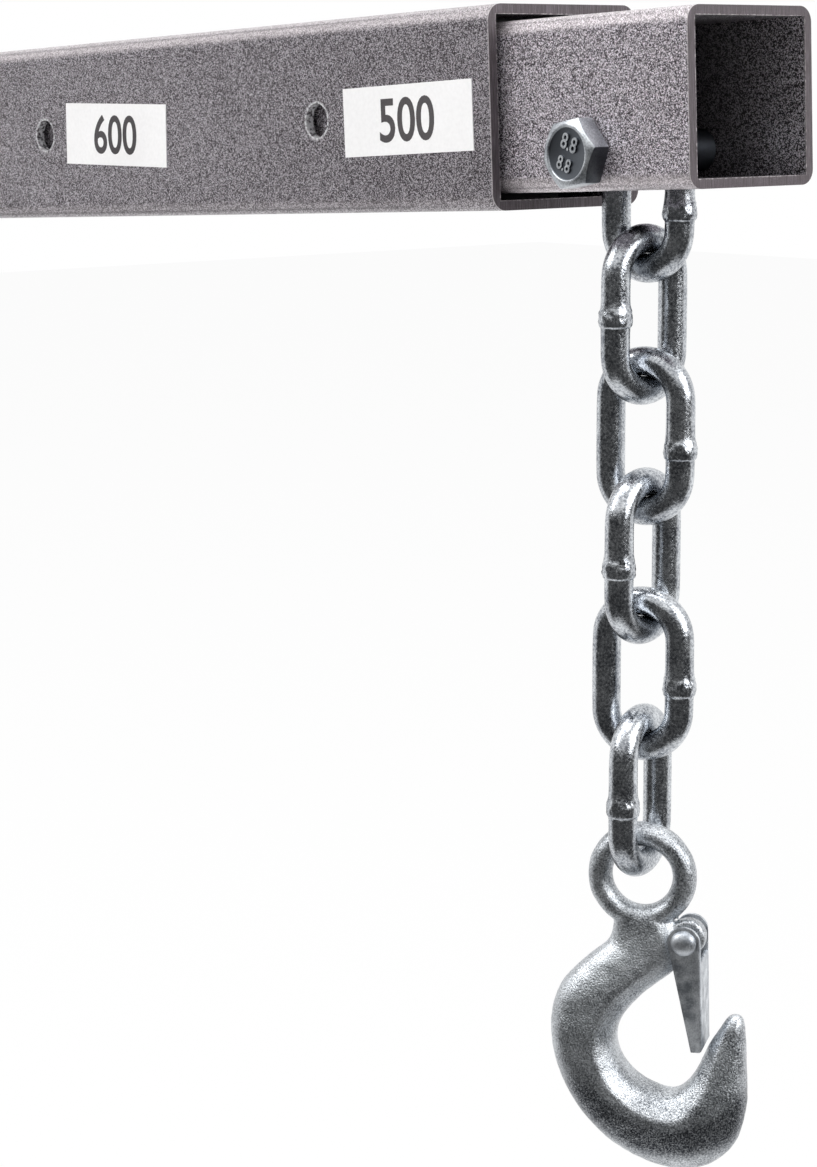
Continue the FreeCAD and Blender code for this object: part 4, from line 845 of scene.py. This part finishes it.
LATCH = HOOK @ Matrix.Translation(LATCH_PIVOT) @ Matrix.Rotation(LATCH_LEAN, 4, "Y")
latch_low, latch_high = reach("hook_latch", LATCH)
half_width = latch_high.y
foot = latch_low.z
arc = [math.radians(angle) for angle in range(0, 181, 12)]
outline = [(LATCH_RADIUS * math.cos(angle), LATCH_RADIUS * math.sin(angle)) for angle in arc]
latch = plate_of(outline + [(LATCH_RADIUS - LATCH_FOOT_WIDTH, foot), (LATCH_RADIUS, foot)], half_width)
web = LATCH_RADIUS - LATCH_SHEET
hollow = [(-BEYOND, BEYOND), (BEYOND, BEYOND), (BEYOND, LATCH_WEB_TOP), (web, LATCH_WEB_TOP)]
hollow += [(web, -2 * BEYOND), (-BEYOND, -2 * BEYOND)]
cut(latch, plate_of(hollow, half_width - LATCH_SHEET))


def on_fold(vertex):
    at_side = abs(abs(vertex.co.y) - half_width) < 0.01 * MM
    return at_side and abs(vertex.co.x - LATCH_RADIUS) < 0.2 * MM


corners = latch.data.vertices
folds = [edge.index for edge in latch.data.edges if all(on_fold(corners[end]) for end in edge.vertices)]
edit_all(latch)
bpy.ops.mesh.select_mode(type="EDGE")
bpy.ops.mesh.select_all(action="DESELECT")
object_mode()
for index in folds:
    latch.data.edges[index].select = True
bpy.ops.object.mode_set(mode="EDIT")
bpy.ops.mesh.bevel(offset=LATCH_FOLD, segments=4, affect="EDGES")
object_mode()
tidy_shell(break_edges(latch, LATCH_EDGE, 40), 0.005 * MM)
for vertex in latch.data.vertices:
    vertex.co.y *= 1 + (LATCH_TAPER - 1) * max(0.0, vertex.co.z / foot)
print("latch: %d folded edges" % len(folds))
smooth(settle(latch, "latch_sheet", LATCH), 40)
fit(latch, sheet_zinc, "latch", "zinc_sheet", "hook_latch")

# %% [markdown]
# The rivet is a turned piece. Its heads are domes, or flattened half balls, on a shank that goes
# through both plates.

# %% Rivet
RIVET_HEAD = 3.9 * MM
RIVET_DOME = 2.3 * MM
RIVET_SHANK = 2.2 * MM


def open_tube(stations, sides):
    radius, height = stations[0]
    tube = circle(sides, radius, (0, 0, height))
    edit_all(tube)
    raise_ring(stations)
    object_mode()
    return tube


def turned(stations, sides=48):
    """A turned piece: a circle extruded up through its stations and closed at both ends."""
    return cap_ends(open_tube(stations, sides), 0.001 * MM)


dome = []
for angle in range(0, 90, 15):
    climb = RIVET_DOME * math.sin(math.radians(angle))
    dome.append((RIVET_HEAD * math.cos(math.radians(angle)), half_width + climb))
upper = [(RIVET_SHANK, half_width)] + dome
rivet = turned([(radius, -height) for radius, height in reversed(upper)] + upper, 40)
ACROSS_HOOK = HOOK @ Matrix.Translation(LATCH_PIVOT) @ Matrix.Rotation(math.pi / 2, 4, "X")
smooth(settle(rivet, "latch_rivet_domed", ACROSS_HOOK), 50)
fit(rivet, sheet_zinc, "hook", "zinc_fastener", "latch_rivet")

# %% [markdown]
# Every bolt and nut of the crane is made the same way. A six-sided circle is extruded to the head's
# height and intersected with a turned cone, which leaves the curved chamfer of a forged head. The
# thread is a stack of rings: a circle is extruded by half a pitch at a time and drawn in and out.
# A fastener stands on Z = 0 with its head upwards, and is then put where its CAD node is.

# %% Bolts and nuts
THREAD_DEPTH_SHARE = 0.09
CHAMFER_SHARE = 0.46
CHAMFER_ANGLE = math.radians(30)
METAL_EDGE = 0.18 * MM
# A shank's point and where the thread starts on it, how the thread runs out below the plain part,
# and how far the shank reaches up into the head.
POINT_SHARES = (0.8, 0.97)
POINT_LENGTH = 1 * MM
THREAD_FROM = 1.5 * MM
THREAD_RUNOUT = 2 * MM
INTO_HEAD = 0.3 * MM
BORE_SHARE = 0.9


def hexagon(flats, height, both_ends=False):
    """A hexagonal head on Z = 0, chamfered at its top, or at both ends for a nut."""
    corner = flats / math.sqrt(3)
    low_edge = flats * CHAMFER_SHARE
    fall = (corner - low_edge) * math.tan(CHAMFER_ANGLE)
    stations = [(low_edge, 0), (corner, fall)] if both_ends else [(corner, -MM)]
    cone = turned(stations + [(corner, height - fall), (low_edge, height)], 96)
    return cut(turned([(corner, 0), (corner, height)], 6), cone, "INTERSECT")


def hexagon_nut(flats, radius, height):
    bore = [(radius * BORE_SHARE, -MM), (radius * BORE_SHARE, height + MM)]
    return cut(hexagon(flats, height, True), turned(bore))


def thread(radius, pitch, start, end):
    """Stations of a threaded length, from start up to end."""
    steps = max(2, round((end - start) / (pitch / 2)))
    root = radius * (1 - 2 * THREAD_DEPTH_SHARE)
    heights = [start + (end - start) * step / steps for step in range(steps + 1)]
    return [(root if step % 2 == 0 else radius, height) for step, height in enumerate(heights)]


def bolt_shank(radius, pitch, length, plain):
    """A bolt's shank, hanging down from Z = 0 and threaded below its plain part."""
    point, first_turn = [radius * share for share in POINT_SHARES]
    stations = [(point, -length), (first_turn, -length + POINT_LENGTH)]
    stations += thread(radius, pitch, -length + THREAD_FROM, -plain - THREAD_RUNOUT)
    return turned(stations + [(radius, -plain), (radius, INTO_HEAD)], 40)


def across_boom(at, turn, side):
    """The place of a fastener that lies across the boom, with its Z outwards on that side."""
    outwards = Matrix.Rotation(-side * math.pi / 2, 4, "X")
    return BOOM @ Matrix.Translation(at) @ Matrix.Rotation(math.radians(turn), 4, "Y") @ outwards


def finish_metal(piece, name, matrix):
    """Breaks a piece's sharp edges, shades it and puts it in its place."""
    tidy_shell(break_edges(piece, METAL_EDGE, 50), 0.002 * MM)
    return smooth(settle(piece, name, matrix), 40)


# %% [markdown]
# The hook bolt's head shows from close by. It stands on a washer face, so that a thin dark line
# runs round under it. Its top is dished, and the strength grade stands up in the dish in plain
# figures, in Blender's own font, narrowed and made heavy. The dish is painted darker as painted
# shade, and one of its flats is painted dark as a painted reflection of the room's dark side.

# %% Hook bolt and nut
BOLT_FLATS = 18.5 * MM
BOLT_RADIUS = 6 * MM
BOLT_PITCH = 1.75 * MM
BOLT_PLAIN = 10 * MM
DISH_RADIUS = 7.4 * MM
DISH_DEPTH = 0.5 * MM
HEAD_TURN = 22
NUT_TURN = 19
WASHER_FACE = 0.6 * MM
WASHER_SHARE = 0.46
# The height of each row of figures and how far down it stands on the head.
MARKS = [(4.6 * MM, 3.2 * MM), (4.0 * MM, -3.1 * MM)]
MARK_NARROW = 0.85
MARK_THICK = 0.45 * MM


def figures(text, height, wide_share, thick, weight):
    """Numbers as a solid mesh, centred, standing in X-Z and facing -Y, with their backs at Y = 0."""
    bpy.ops.object.text_add()
    made = bpy.context.object
    made.data.body = text
    made.data.align_x = "CENTER"
    made.data.align_y = "CENTER"
    made.data.offset = weight
    made.data.extrude = 0.5
    made.data.resolution_u = 6
    bpy.ops.object.convert(target="MESH")
    across, upwards = [[vertex.co[axis] for vertex in made.data.vertices] for axis in (0, 1)]
    low, high = min(upwards), max(upwards)
    scale = height / (high - low)
    edit_all(made)
    bpy.ops.transform.translate(value=(-(min(across) + max(across)) / 2, -(low + high) / 2, 0.5))
    bpy.ops.transform.resize(value=(scale * wide_share, scale, thick), center_override=(0, 0, 0))
    bpy.ops.transform.rotate(value=-math.pi / 2, orient_axis="X", center_override=(0, 0, 0))
    object_mode()
    return tidy_shell(made, 0.002 * MM)


bolt_low, bolt_high = reach("hook_bolt", BOOM)
nut_low, nut_high = reach("hook_nut", BOOM)
bolt_x = (bolt_low.x + bolt_high.x) / 2
bolt_z = (bolt_low.z + bolt_high.z) / 2
wall_near, wall_far = inner_low.y, inner_high.y
head_height = wall_near - bolt_low.y
AT_BOLT = across_boom((bolt_x, wall_near, bolt_z), HEAD_TURN, -1)

stamped_zinc = zinc("stamped_bolt_zinc", 0.5, 0.28, 0.05, contrast=0.5)
across, upwards, depth = stamped_zinc.axes(stamped_zinc.place(AT_BOLT))
from_axis = (across * across + upwards * upwards).root()
# The dish is painted darker as painted shade, and one flat is painted dark as a painted reflection of the room's
# dark side.
in_dish = depth.rise(head_height - 0.3 * DISH_DEPTH, head_height - 0.8 * DISH_DEPTH)
in_dish = in_dish * from_axis.rise(1.06 * DISH_RADIUS, 1.02 * DISH_RADIUS)
shaded_flat = across.rise(BOLT_FLATS / 2 - 0.2 * MM, BOLT_FLATS / 2 - 0.05 * MM) * 0.85
dish_shaded = stamped_zinc.blend(in_dish, stamped_zinc.fed("Base Color"), ZINC_SHADE)
stamped_zinc.wear(Base_Color=stamped_zinc.blend(shaded_flat, dish_shaded, ZINC_PAINTED_SHADE))

head = hexagon(BOLT_FLATS, head_height - WASHER_FACE)
settle(head, "head", Matrix.Translation((0, 0, WASHER_FACE)))
cut(head, turned([(DISH_RADIUS, head_height - DISH_DEPTH), (DISH_RADIUS * 1.03, head_height + MM)]))
finish_metal(head, "hook_bolt_head", AT_BOLT)
shank = bolt_shank(BOLT_RADIUS, BOLT_PITCH, bolt_high.y - wall_near, BOLT_PLAIN)
washer_radius = WASHER_SHARE * BOLT_FLATS
washer = turned([(washer_radius, 0), (washer_radius, 1.2 * WASHER_FACE)])
extras = [smooth(settle(shank, "shank", AT_BOLT), 25), settle(washer, "washer", AT_BOLT)]
for height, down in MARKS:
    mark = figures("8.8", height, MARK_NARROW, MARK_THICK, 0.01)
    lying = Matrix.Translation((0, down, head_height - DISH_DEPTH)) @ Matrix.Rotation(-math.pi / 2, 4, "X")
    extras.append(settle(mark, "mark", AT_BOLT @ lying))
fit(join([head] + extras), stamped_zinc, "extension", "zinc_fastener", "hook_bolt")

nut = hexagon_nut(BOLT_FLATS, BOLT_RADIUS, nut_high.y - nut_low.y)
finish_metal(nut, "hook_bolt_nut", across_boom((bolt_x, wall_far, bolt_z), NUT_TURN, 1))
fit(nut, bolt_zinc, "extension", "zinc_fastener", "hook_nut")

# %% [markdown]
# The pivot bolt and the stop bolt are the same in other sizes. Their seats and lengths are read
# from the CAD nodes that they stand for.

# %% Pivot bolt and stop bolt
# The bolt and nut nodes, the width across flats, radius and pitch in mm, the turn, and the body.
CROSS_BOLTS = [
    ("pivot_bolt", "pivot_nut", 24.0, 8.0, 2.0, 12, "mast"),
    ("extension_stop_bolt", "extension_stop_nut", 13.0, 4.0, 1.25, 40, "boom"),
]
NUT_TURNED_BY = 8
PLAIN_SHARE = 0.9

for bolt_node, nut_node, flats, radius, pitch, turn, body in CROSS_BOLTS:
    low, high = reach(bolt_node, BOOM)
    nut_low, nut_high = reach(nut_node, BOOM)
    seat = nut_low.y
    x, z = (low.x + high.x) / 2, (low.z + high.z) / 2
    near = across_boom((x, -seat, z), turn, -1)
    head = finish_metal(hexagon(flats * MM, -seat - low.y), bolt_node + "_head", near)
    shank = bolt_shank(radius * MM, pitch * MM, high.y + seat, 2 * seat * PLAIN_SHARE)
    smooth(settle(shank, "shank", near), 25)
    fit(join([head, shank]), bolt_zinc, body, "zinc_fastener", bolt_node)
    nut = hexagon_nut(flats * MM, radius * MM, nut_high.y - nut_low.y)
    finish_metal(nut, nut_node + "_hex", across_boom((x, seat, z), turn + NUT_TURNED_BY, 1))
    fit(nut, bolt_zinc, body, "zinc_fastener", nut_node)

# %% [markdown]
# The pull ring of the lock pin is a ring of wire that hangs through a cross hole.

# %% Pull ring
RING_SLACK = 0.92

ring_low, ring_high = reach("lock_pin_ring", BOOM)
ring_wire = ring_high.y - ring_low.y
bpy.ops.mesh.primitive_torus_add(
    major_radius=(ring_high.x - ring_low.x - ring_wire) / 2, minor_radius=ring_wire / 2 * RING_SLACK,
    major_segments=72, minor_segments=18,
)
pull_ring = settle(bpy.context.object, "pull_ring", across_boom((ring_low + ring_high) / 2, 0, -1))
fit(smooth(pull_ring, 60), bolt_zinc, "pin_ring", "zinc_fastener", "lock_pin_ring")

# %% [markdown]
# Sawn plates and castings never have knife edges. These nodes are copied, their flat faces are made
# whole again, and every sharp edge is broken with a small bevel that catches the light.

# %% Broken edges
# The width of the bevel in mm.
EDGE_WIDTHS = {
    "base_plate": 1.2, "base_gussets": 0.9, "base_pedestal": 0.8, "mast_foot": 0.9, "mast_cap": 0.6,
    "mast_cheeks": 0.9, "lock_screw_boss": 0.6, "jack_bracket": 0.9, "boom_jack_ears": 0.9,
    "jack_base": 0.9, "ram_eye": 0.6, "handle_socket": 0.5, "jack_gland_nut": 0.5, "boom_tail_plug": 0.9,
}
FLAT_ANGLE = math.radians(1)

slot_of = {subpart["node"]: subpart["material_slot"] for subpart in frame["record"]["subparts"]}
members_of = frame["record"]["behaviour"]["bodies"]
body_of = {name: body for body, members in members_of.items() for name in members}
for name, width in EDGE_WIDTHS.items():
    piece = nodes[name].copy()
    piece.data = nodes[name].data.copy()
    bpy.context.scene.collection.objects.link(piece)
    piece.parent = None
    edit_all(tidy_shell(piece))
    bpy.ops.mesh.dissolve_limited(angle_limit=FLAT_ANGLE)
    object_mode()
    apply_modifier(break_edges(piece, width * MM, 28), "TRIANGULATE")
    smooth(settle(piece, name + "_eased"), 30)
    apply_modifier(piece, "WEIGHTED_NORMAL", keep_sharp=True)
    fit(piece, SLOT_FINISHES[slot_of[name]], body_of[name], slot_of[name], name)

# %% [markdown]
# The welded frame has a bead along every joint. One ripple is a short open tube, and an array
# repeats it along the seam. A seam round a tube is a ring that is swollen in the same rhythm. Noise
# makes every bead uneven.

# %% Weld beads
BEAD = 2.4 * MM
THIN_BEAD = 1.8 * MM
RIPPLE = 2.2 * MM
RIPPLE_SHARE = 0.13
SWOLLEN_SPAN = (0.35, 0.75)
BEAD_SIDES = 14
ROUGH_SIZE = 3.1 * MM
ROUGH_DEPTH = 0.3 * MM

# Without a seed, the offsets of a noise vector come from the clock.
noise.seed_set(5)


def place_bead(bead, matrix):
    settle(bead, "bead", matrix)
    for vertex in bead.data.vertices:
        vertex.co += noise.noise_vector(vertex.co / ROUGH_SIZE) * ROUGH_DEPTH
    return smooth(bead, 60)


def straight_bead(start, end, size=THIN_BEAD):
    """A bead from one place to another."""
    start, end = Vector(start), Vector(end)
    length = (end - start).length
    count = max(2, round(length / RIPPLE))
    step = length / count
    swollen = size * (1 + RIPPLE_SHARE)
    ripple = [(size, 0)] + [(swollen, share * step) for share in SWOLLEN_SPAN] + [(size, step)]
    bead = apply_modifier(
        open_tube(ripple, BEAD_SIDES), "ARRAY", count=count, use_relative_offset=False,
        use_constant_offset=True, constant_offset_displace=(0, 0, step),
        use_merge_vertices=True, merge_threshold=0.01 * MM,
    )
    turn = UPWARD.rotation_difference(end - start).to_matrix().to_4x4()
    return place_bead(cap_ends(bead), Matrix.Translation(start) @ turn)


def ring_bead(centre, radius, turn=Matrix.Identity(4), size=THIN_BEAD):
    """A bead round a tube."""
    bpy.ops.mesh.primitive_torus_add(
        major_radius=radius, minor_radius=size, major_segments=round(4 * math.pi * radius / RIPPLE),
        minor_segments=BEAD_SIDES,
    )
    bead = bpy.context.object
    for vertex in bead.data.vertices:
        middle = Vector((vertex.co.x, vertex.co.y, 0)).normalized() * radius
        along = math.atan2(vertex.co.y, vertex.co.x) * round(radius * 2 * math.pi / RIPPLE)
        vertex.co = middle + (vertex.co - middle) * (1 + RIPPLE_SHARE * math.sin(along) / 2)
    return place_bead(bead, Matrix.Translation(centre) @ turn)


def square_beads(low, high, fixed, at, size=THIN_BEAD):
    """Four beads round a rectangle that lies across one axis, from its low to its high corner."""
    first, second = [axis for axis in range(3) if axis != fixed]
    corners = []
    for a, b in ((low, low), (high, low), (high, high), (low, high)):
        corner = Vector((0, 0, 0))
        corner[fixed] = at
        corner[first], corner[second] = a[first], b[second]
        corners.append(corner)
    return [straight_bead(corners[side - 1], corners[side], size) for side in range(4)]


# %% [markdown]
# The pedestal has a bead round its foot and its gussets one along each side. The mast has them round
# its foot, along the cheeks, and round the jack's bracket and the lock screw's boss, and the boom
# along its jack ears. All the beads of a body are joined into one piece, in the frame's own paint.

# %% Beads on the base, the mast and the boom
GUSSET_HALF = 4 * MM
GUSSET_CORNER = 4 * MM
BEAD_SHORT = 3 * MM
TUBE_CORNER = 3 * MM
CORNER_SHARE = 0.985
PLATE_EDGE = 2 * MM
EAR_THICK = 6 * MM


def fit_beads(beads, body, name, matrix=None):
    fit(settle(join(beads), name, matrix), mast_paint, body, "frame_paint")


pedestal_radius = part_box("base_pedestal")[1].x
plate_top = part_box("base_plate")[1].z
gusset_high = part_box("base_gussets")[1]
gusset_reach = gusset_high.x * math.sqrt(2) - GUSSET_CORNER
beads = [ring_bead((0, 0, plate_top), pedestal_radius, size=BEAD)]
for quarter in range(4):
    turn = Matrix.Rotation(math.radians(45 + 90 * quarter), 4, "Z")
    for y in (-GUSSET_HALF, GUSSET_HALF):
        wall = math.sqrt(pedestal_radius ** 2 - y ** 2)
        inner = turn @ Vector((wall, y, plate_top))
        beads.append(straight_bead(inner, turn @ Vector((gusset_reach - BEAD_SHORT, y, plate_top))))
        beads.append(straight_bead(inner, turn @ Vector((wall, y, gusset_high.z - GUSSET_CORNER))))
fit_beads(beads, "base", "base_weld_beads")

mast_low, mast_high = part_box("mast_tube")
cheeks_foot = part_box("mast_cheeks")[0].z
corner = Vector((TUBE_CORNER, TUBE_CORNER, 0))
beads = square_beads(mast_low + corner, mast_high - corner, 2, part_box("mast_foot")[1].z, BEAD)
for y in (-mast_high.y, mast_high.y):
    for x in (mast_low.x * CORNER_SHARE, mast_high.x * CORNER_SHARE):
        side = y * CORNER_SHARE
        beads.append(straight_bead((x, side, cheeks_foot), (x, side, mast_high.z), BEAD))
    ends = mast_low.x + PLATE_EDGE, mast_high.x - PLATE_EDGE
    beads.append(straight_bead((ends[0], y, cheeks_foot), (ends[1], y, cheeks_foot), BEAD))
bracket_low, bracket_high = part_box("jack_bracket")
bracket_inset = Vector((0, PLATE_EDGE, 0))
beads += square_beads(bracket_low + bracket_inset, bracket_high - bracket_inset, 0, bracket_low.x)
boss_low, boss_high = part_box("lock_screw_boss")
boss_middle = (boss_high.x, 0, (boss_low.z + boss_high.z) / 2)
beads.append(ring_bead(boss_middle, boss_high.y, Matrix.Rotation(math.pi / 2, 4, "Y")))
fit_beads(beads, "mast", "mast_weld_beads")

ears_low, ears_high = reach("boom_jack_ears", BOOM)
beads = []
for side in (-1, 1):
    for y in (side * ears_high.y, side * (ears_high.y - EAR_THICK)):
        beads.append(straight_bead((ears_low.x, y, outer_low.z), (ears_high.x, y, outer_low.z)))
fit_beads(beads, "boom", "ear_weld_beads", BOOM)

# %% [markdown]
# The rubber grip is turned in rings: a collar, a row of ribs and a rounded end. It lies along the
# direction that the lever pulls out in.

# %% Ribbed grip
GRIP_RIB = 6 * MM
GRIP_GROOVE = 0.9
# The bore, the collar and its chamfer, and how much of the grip has no ribs.
BORE_RADIUS_SHARE = 0.6
COLLAR_SHARE = 0.93
COLLAR_CHAMFER = 2 * MM
COLLAR_LENGTH = 7 * MM
PLAIN_ENDS = 20 * MM
# Where a groove starts and ends, and where the rib starts and ends after it.
GROOVE_SPAN = (0.6 * MM, 1.6 * MM)
RIB_SPAN = (2.4 * MM, GRIP_RIB - 0.4 * MM)
RIB_SHARE = 0.99
# The rounded end: the share of the radius that stays flat, and the length of the rounding.
END_FLAT = 0.45
END_ROUND = 6 * MM
GRIP_EDGE = 0.5 * MM

lever_along = Vector(joints["lever_pull"]["axis"]).normalized()
lever_side = lever_along.cross(ALONG_Y).normalized()
grip_low, grip_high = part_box("lever_grip")
LEVER = frame_matrix(lever_side, lever_along.cross(lever_side), lever_along, (grip_low + grip_high) / 2)
along_low, along_high = reach("lever_grip", LEVER)
radius, foot, top = along_high.y, along_low.z, along_high.z
stations = [(radius * BORE_RADIUS_SHARE, foot), (radius * COLLAR_SHARE, foot)]
stations += [(radius, foot + COLLAR_CHAMFER), (radius, foot + COLLAR_LENGTH)]
for rib in range(int((top - foot - PLAIN_ENDS) / GRIP_RIB)):
    start = foot + COLLAR_LENGTH + MM + rib * GRIP_RIB
    stations += [(radius * GRIP_GROOVE, start + rise) for rise in GROOVE_SPAN]
    stations += [(radius * RIB_SHARE, start + rise) for rise in RIB_SPAN]
for angle in range(0, 90, 15):
    across = END_FLAT + (1 - END_FLAT) * math.cos(math.radians(angle))
    stations.append((radius * across, top + (math.sin(math.radians(angle)) - 1) * END_ROUND))
grip = break_edges(turned(stations), GRIP_EDGE, 25)
smooth(settle(grip, "ribbed_grip", LEVER), 40)
fit(grip, grip_rubber, "lever", "rubber_grip", "lever_grip")

# %% [markdown]
# Each pin hole has its load figure beside it, printed on a white sticker. The stickers are the CAD's,
# a little crooked, so each figure takes its place and turn from its own sticker's corners.

# %% Load figures
LOADS = ["1000", "750", "600", "500"]
FIGURE_HEIGHT = 13.4 * MM
FIGURE_NARROW = 0.96
INK_THICK = 0.04 * MM
# A corner that lies farther along than this from a sticker's first corner is the next sticker's.
STICKER_REACH = 72 * MM


def middle_of(points):
    return sum(points, Vector()) / len(points)


label_points = [BOOM.inverted() @ vertex.co for vertex in nodes["rating_labels"].data.vertices]
stickers = [[]]
for point in sorted(label_points, key=lambda point: point.x):
    if stickers[-1] and point.x - stickers[-1][0].x > STICKER_REACH:
        stickers.append([])
    stickers[-1].append(point)
prints = []
for load, sticker in zip(LOADS, stickers):
    middle = middle_of(sticker)
    left = middle_of([point for point in sticker if point.x < middle.x])
    right = middle_of([point for point in sticker if point.x >= middle.x])
    tilt = math.atan2(right.z - left.z, right.x - left.x)
    face = min(point.y for point in sticker)
    number = figures(load, FIGURE_HEIGHT, FIGURE_NARROW, INK_THICK, 0.014)
    place = Matrix.Translation((middle.x, face, middle.z)) @ Matrix.Rotation(-tilt, 4, "Y")
    prints.append(settle(number, "print", BOOM @ place))
    print("figure %s at %.1f mm, tilted %.1f degrees" % (load, middle.x / MM, math.degrees(tilt)))
load_figures = join(prints)
load_figures.name = "load_figures"
fit(load_figures, label_ink, "boom", "label_vinyl")

# %% [markdown]
# The camera is the photograph's: it stands low beside the boom's tip and looks back at it a little
# downwards. Its place was solved from the edges of both tubes, so it is written in the boom's own
# frame, from the middle of the tip.

# %% Camera
CAMERA_FROM_TIP = Vector((545.15, -589.26, -16.81)) * MM
CAMERA_YAW = 0.8715
CAMERA_PITCH = -0.1460
CAMERA_ROLL = -0.0329
FOCAL_PIXELS = 2820.0
IMAGE_HEIGHT = 1167
SENSOR = 36.0

looking = Vector((
    -math.sin(CAMERA_YAW) * math.cos(CAMERA_PITCH),
    math.cos(CAMERA_YAW) * math.cos(CAMERA_PITCH),
    math.sin(CAMERA_PITCH),
))
level_right = looking.cross(UPWARD).normalized()
level_up = level_right.cross(looking)
camera_right = level_right * math.cos(CAMERA_ROLL) + level_up * math.sin(CAMERA_ROLL)
camera_up = level_up * math.cos(CAMERA_ROLL) - level_right * math.sin(CAMERA_ROLL)
camera_at = Vector((tip, 0, 0)) + CAMERA_FROM_TIP

bpy.ops.object.camera_add()
camera = bpy.context.object
camera.name = "camera"
camera.matrix_world = BOOM @ frame_matrix(camera_right, camera_up, -looking, camera_at)
camera.data.sensor_width = SENSOR
camera.data.lens = FOCAL_PIXELS * SENSOR / IMAGE_HEIGHT
camera.data.clip_start = 0.05
camera.data.clip_end = 60
bpy.context.scene.camera = camera
print("lens %.2f mm, camera at" % camera.data.lens, camera.matrix_world.translation)

# %% [markdown]
# The studio is a pale floor under a white world. Camera rays see both as white, and so do the
# reflections in the metal, except level with the object on the photographer's side and below: there
# the room is dark, and that dark is what draws the dark cores of the chain's bars. One mask, made
# from a direction, says where the dark is, and both the world and the floor use it.

# %% Floor and world
TARGET = Vector((0.9, 0, 0.95))
FLOOR_HALF = 12.0
FLOOR_COLOR = rgb(236, 236, 236)
FLOOR_GLOW = 0.94
WORLD_LIGHT = 0.45
ROOM_DARK = 0.08
DARK_TOWARDS = (0.68, -0.733)
# How far round the room's dark side reaches, and between which heights of a direction.
DARK_FACING = (-0.25, 0.1)
DARK_TOP = (0.42, 0.2)
DARK_FOOT = (-0.88, -0.7)


def dark_room(finish, direction):
    """1 where a direction meets the room's dark side, and 0 where it meets white."""
    x, y, z = finish.axes(direction)
    level = (x * x + y * y).root() + 0.001
    facing = (x * DARK_TOWARDS[0] + y * DARK_TOWARDS[1]) / level
    return facing.rise(*DARK_FACING) * z.rise(*DARK_TOP) * z.rise(*DARK_FOOT) * (1 - ROOM_DARK)


bpy.ops.mesh.primitive_plane_add(size=2 * FLOOR_HALF, location=(0, 0, 0))
floor = bpy.context.object
floor.name = "floor"
floor_finish = Finish("studio_floor")
floor_finish.wear(Base_Color=FLOOR_COLOR, Roughness=0.9)
path = floor_finish.node("ShaderNodeLightPath")
ends = {0: floor_finish.place(), 1: TARGET[:]}
offset = floor_finish.node("ShaderNodeVectorMath", {"operation": "SUBTRACT"}, ends)[0]
towards = floor_finish.node("ShaderNodeVectorMath", {"operation": "NORMALIZE"}, {0: offset})[0]
strength = 1 - dark_room(floor_finish, towards) * path["Is Glossy Ray"]
glow = floor_finish.node("ShaderNodeEmission", None, {"Color": (1, 1, 1, 1), "Strength": strength})
seen = (path["Is Camera Ray"] * FLOOR_GLOW).highest(path["Is Glossy Ray"])
mixed = floor_finish.node("ShaderNodeMixShader", None, {0: seen})
floor_finish.tree.links.new(floor_finish.surface.outputs[0], mixed.node.inputs[1])
floor_finish.tree.links.new(glow.node.outputs[0], mixed.node.inputs[2])
floor_finish.tree.links.new(mixed.node.outputs[0], floor_finish.tree.nodes["Material Output"].inputs[0])
coat(floor, floor_finish)

sky = Finish("studio", bpy.data.worlds.new("studio"))
bpy.context.scene.world = sky.owner
background = sky.tree.nodes["Background"]
path = sky.node("ShaderNodeLightPath")
dark = dark_room(sky, sky.node("ShaderNodeTexCoord")["Generated"])
direct = path["Is Camera Ray"].highest(path["Is Transmission Ray"])
mirrored = path["Is Glossy Ray"] * (1 - dark)
lit = (1 - path["Is Glossy Ray"]) * WORLD_LIGHT
sky.feed(background.inputs["Strength"], direct.highest(mirrored + lit))
background.inputs["Color"].default_value = (1, 1, 1, 1)

# %% [markdown]
# The lamps are large and soft, at a level at which a colour shows about as it is written: one above,
# one behind on the right, and one high in front on the left, which puts the glints on the crowns. The
# one above hangs high, so that the raised and drawn-out boom isn't much brighter than the resting one.

# %% Lamps
# A lamp's name, its place and size in metres, and its power in watts. Each one faces the target.
LAMPS = [
    ("lamp_above", (0.15, -0.5, 6.6), 5.5, 350),
    ("lamp_right", (3.0, 0.6, 1.9), 1.6, 36),
    ("lamp_left", (-0.7, -2.5, 2.9), 1.2, 34),
]

for name, at, size, watts in LAMPS:
    bpy.ops.object.light_add(type="AREA", location=at)
    lamp = bpy.context.object
    lamp.name = name
    lamp.rotation_euler = (TARGET - Vector(at)).to_track_quat("-Z", "Y").to_euler()
    lamp.data.shape = "SQUARE"
    lamp.data.size = size
    lamp.data.energy = watts
bpy.context.scene.view_settings.view_transform = "Standard"
print("floor, world and", len(LAMPS), "lamps set")
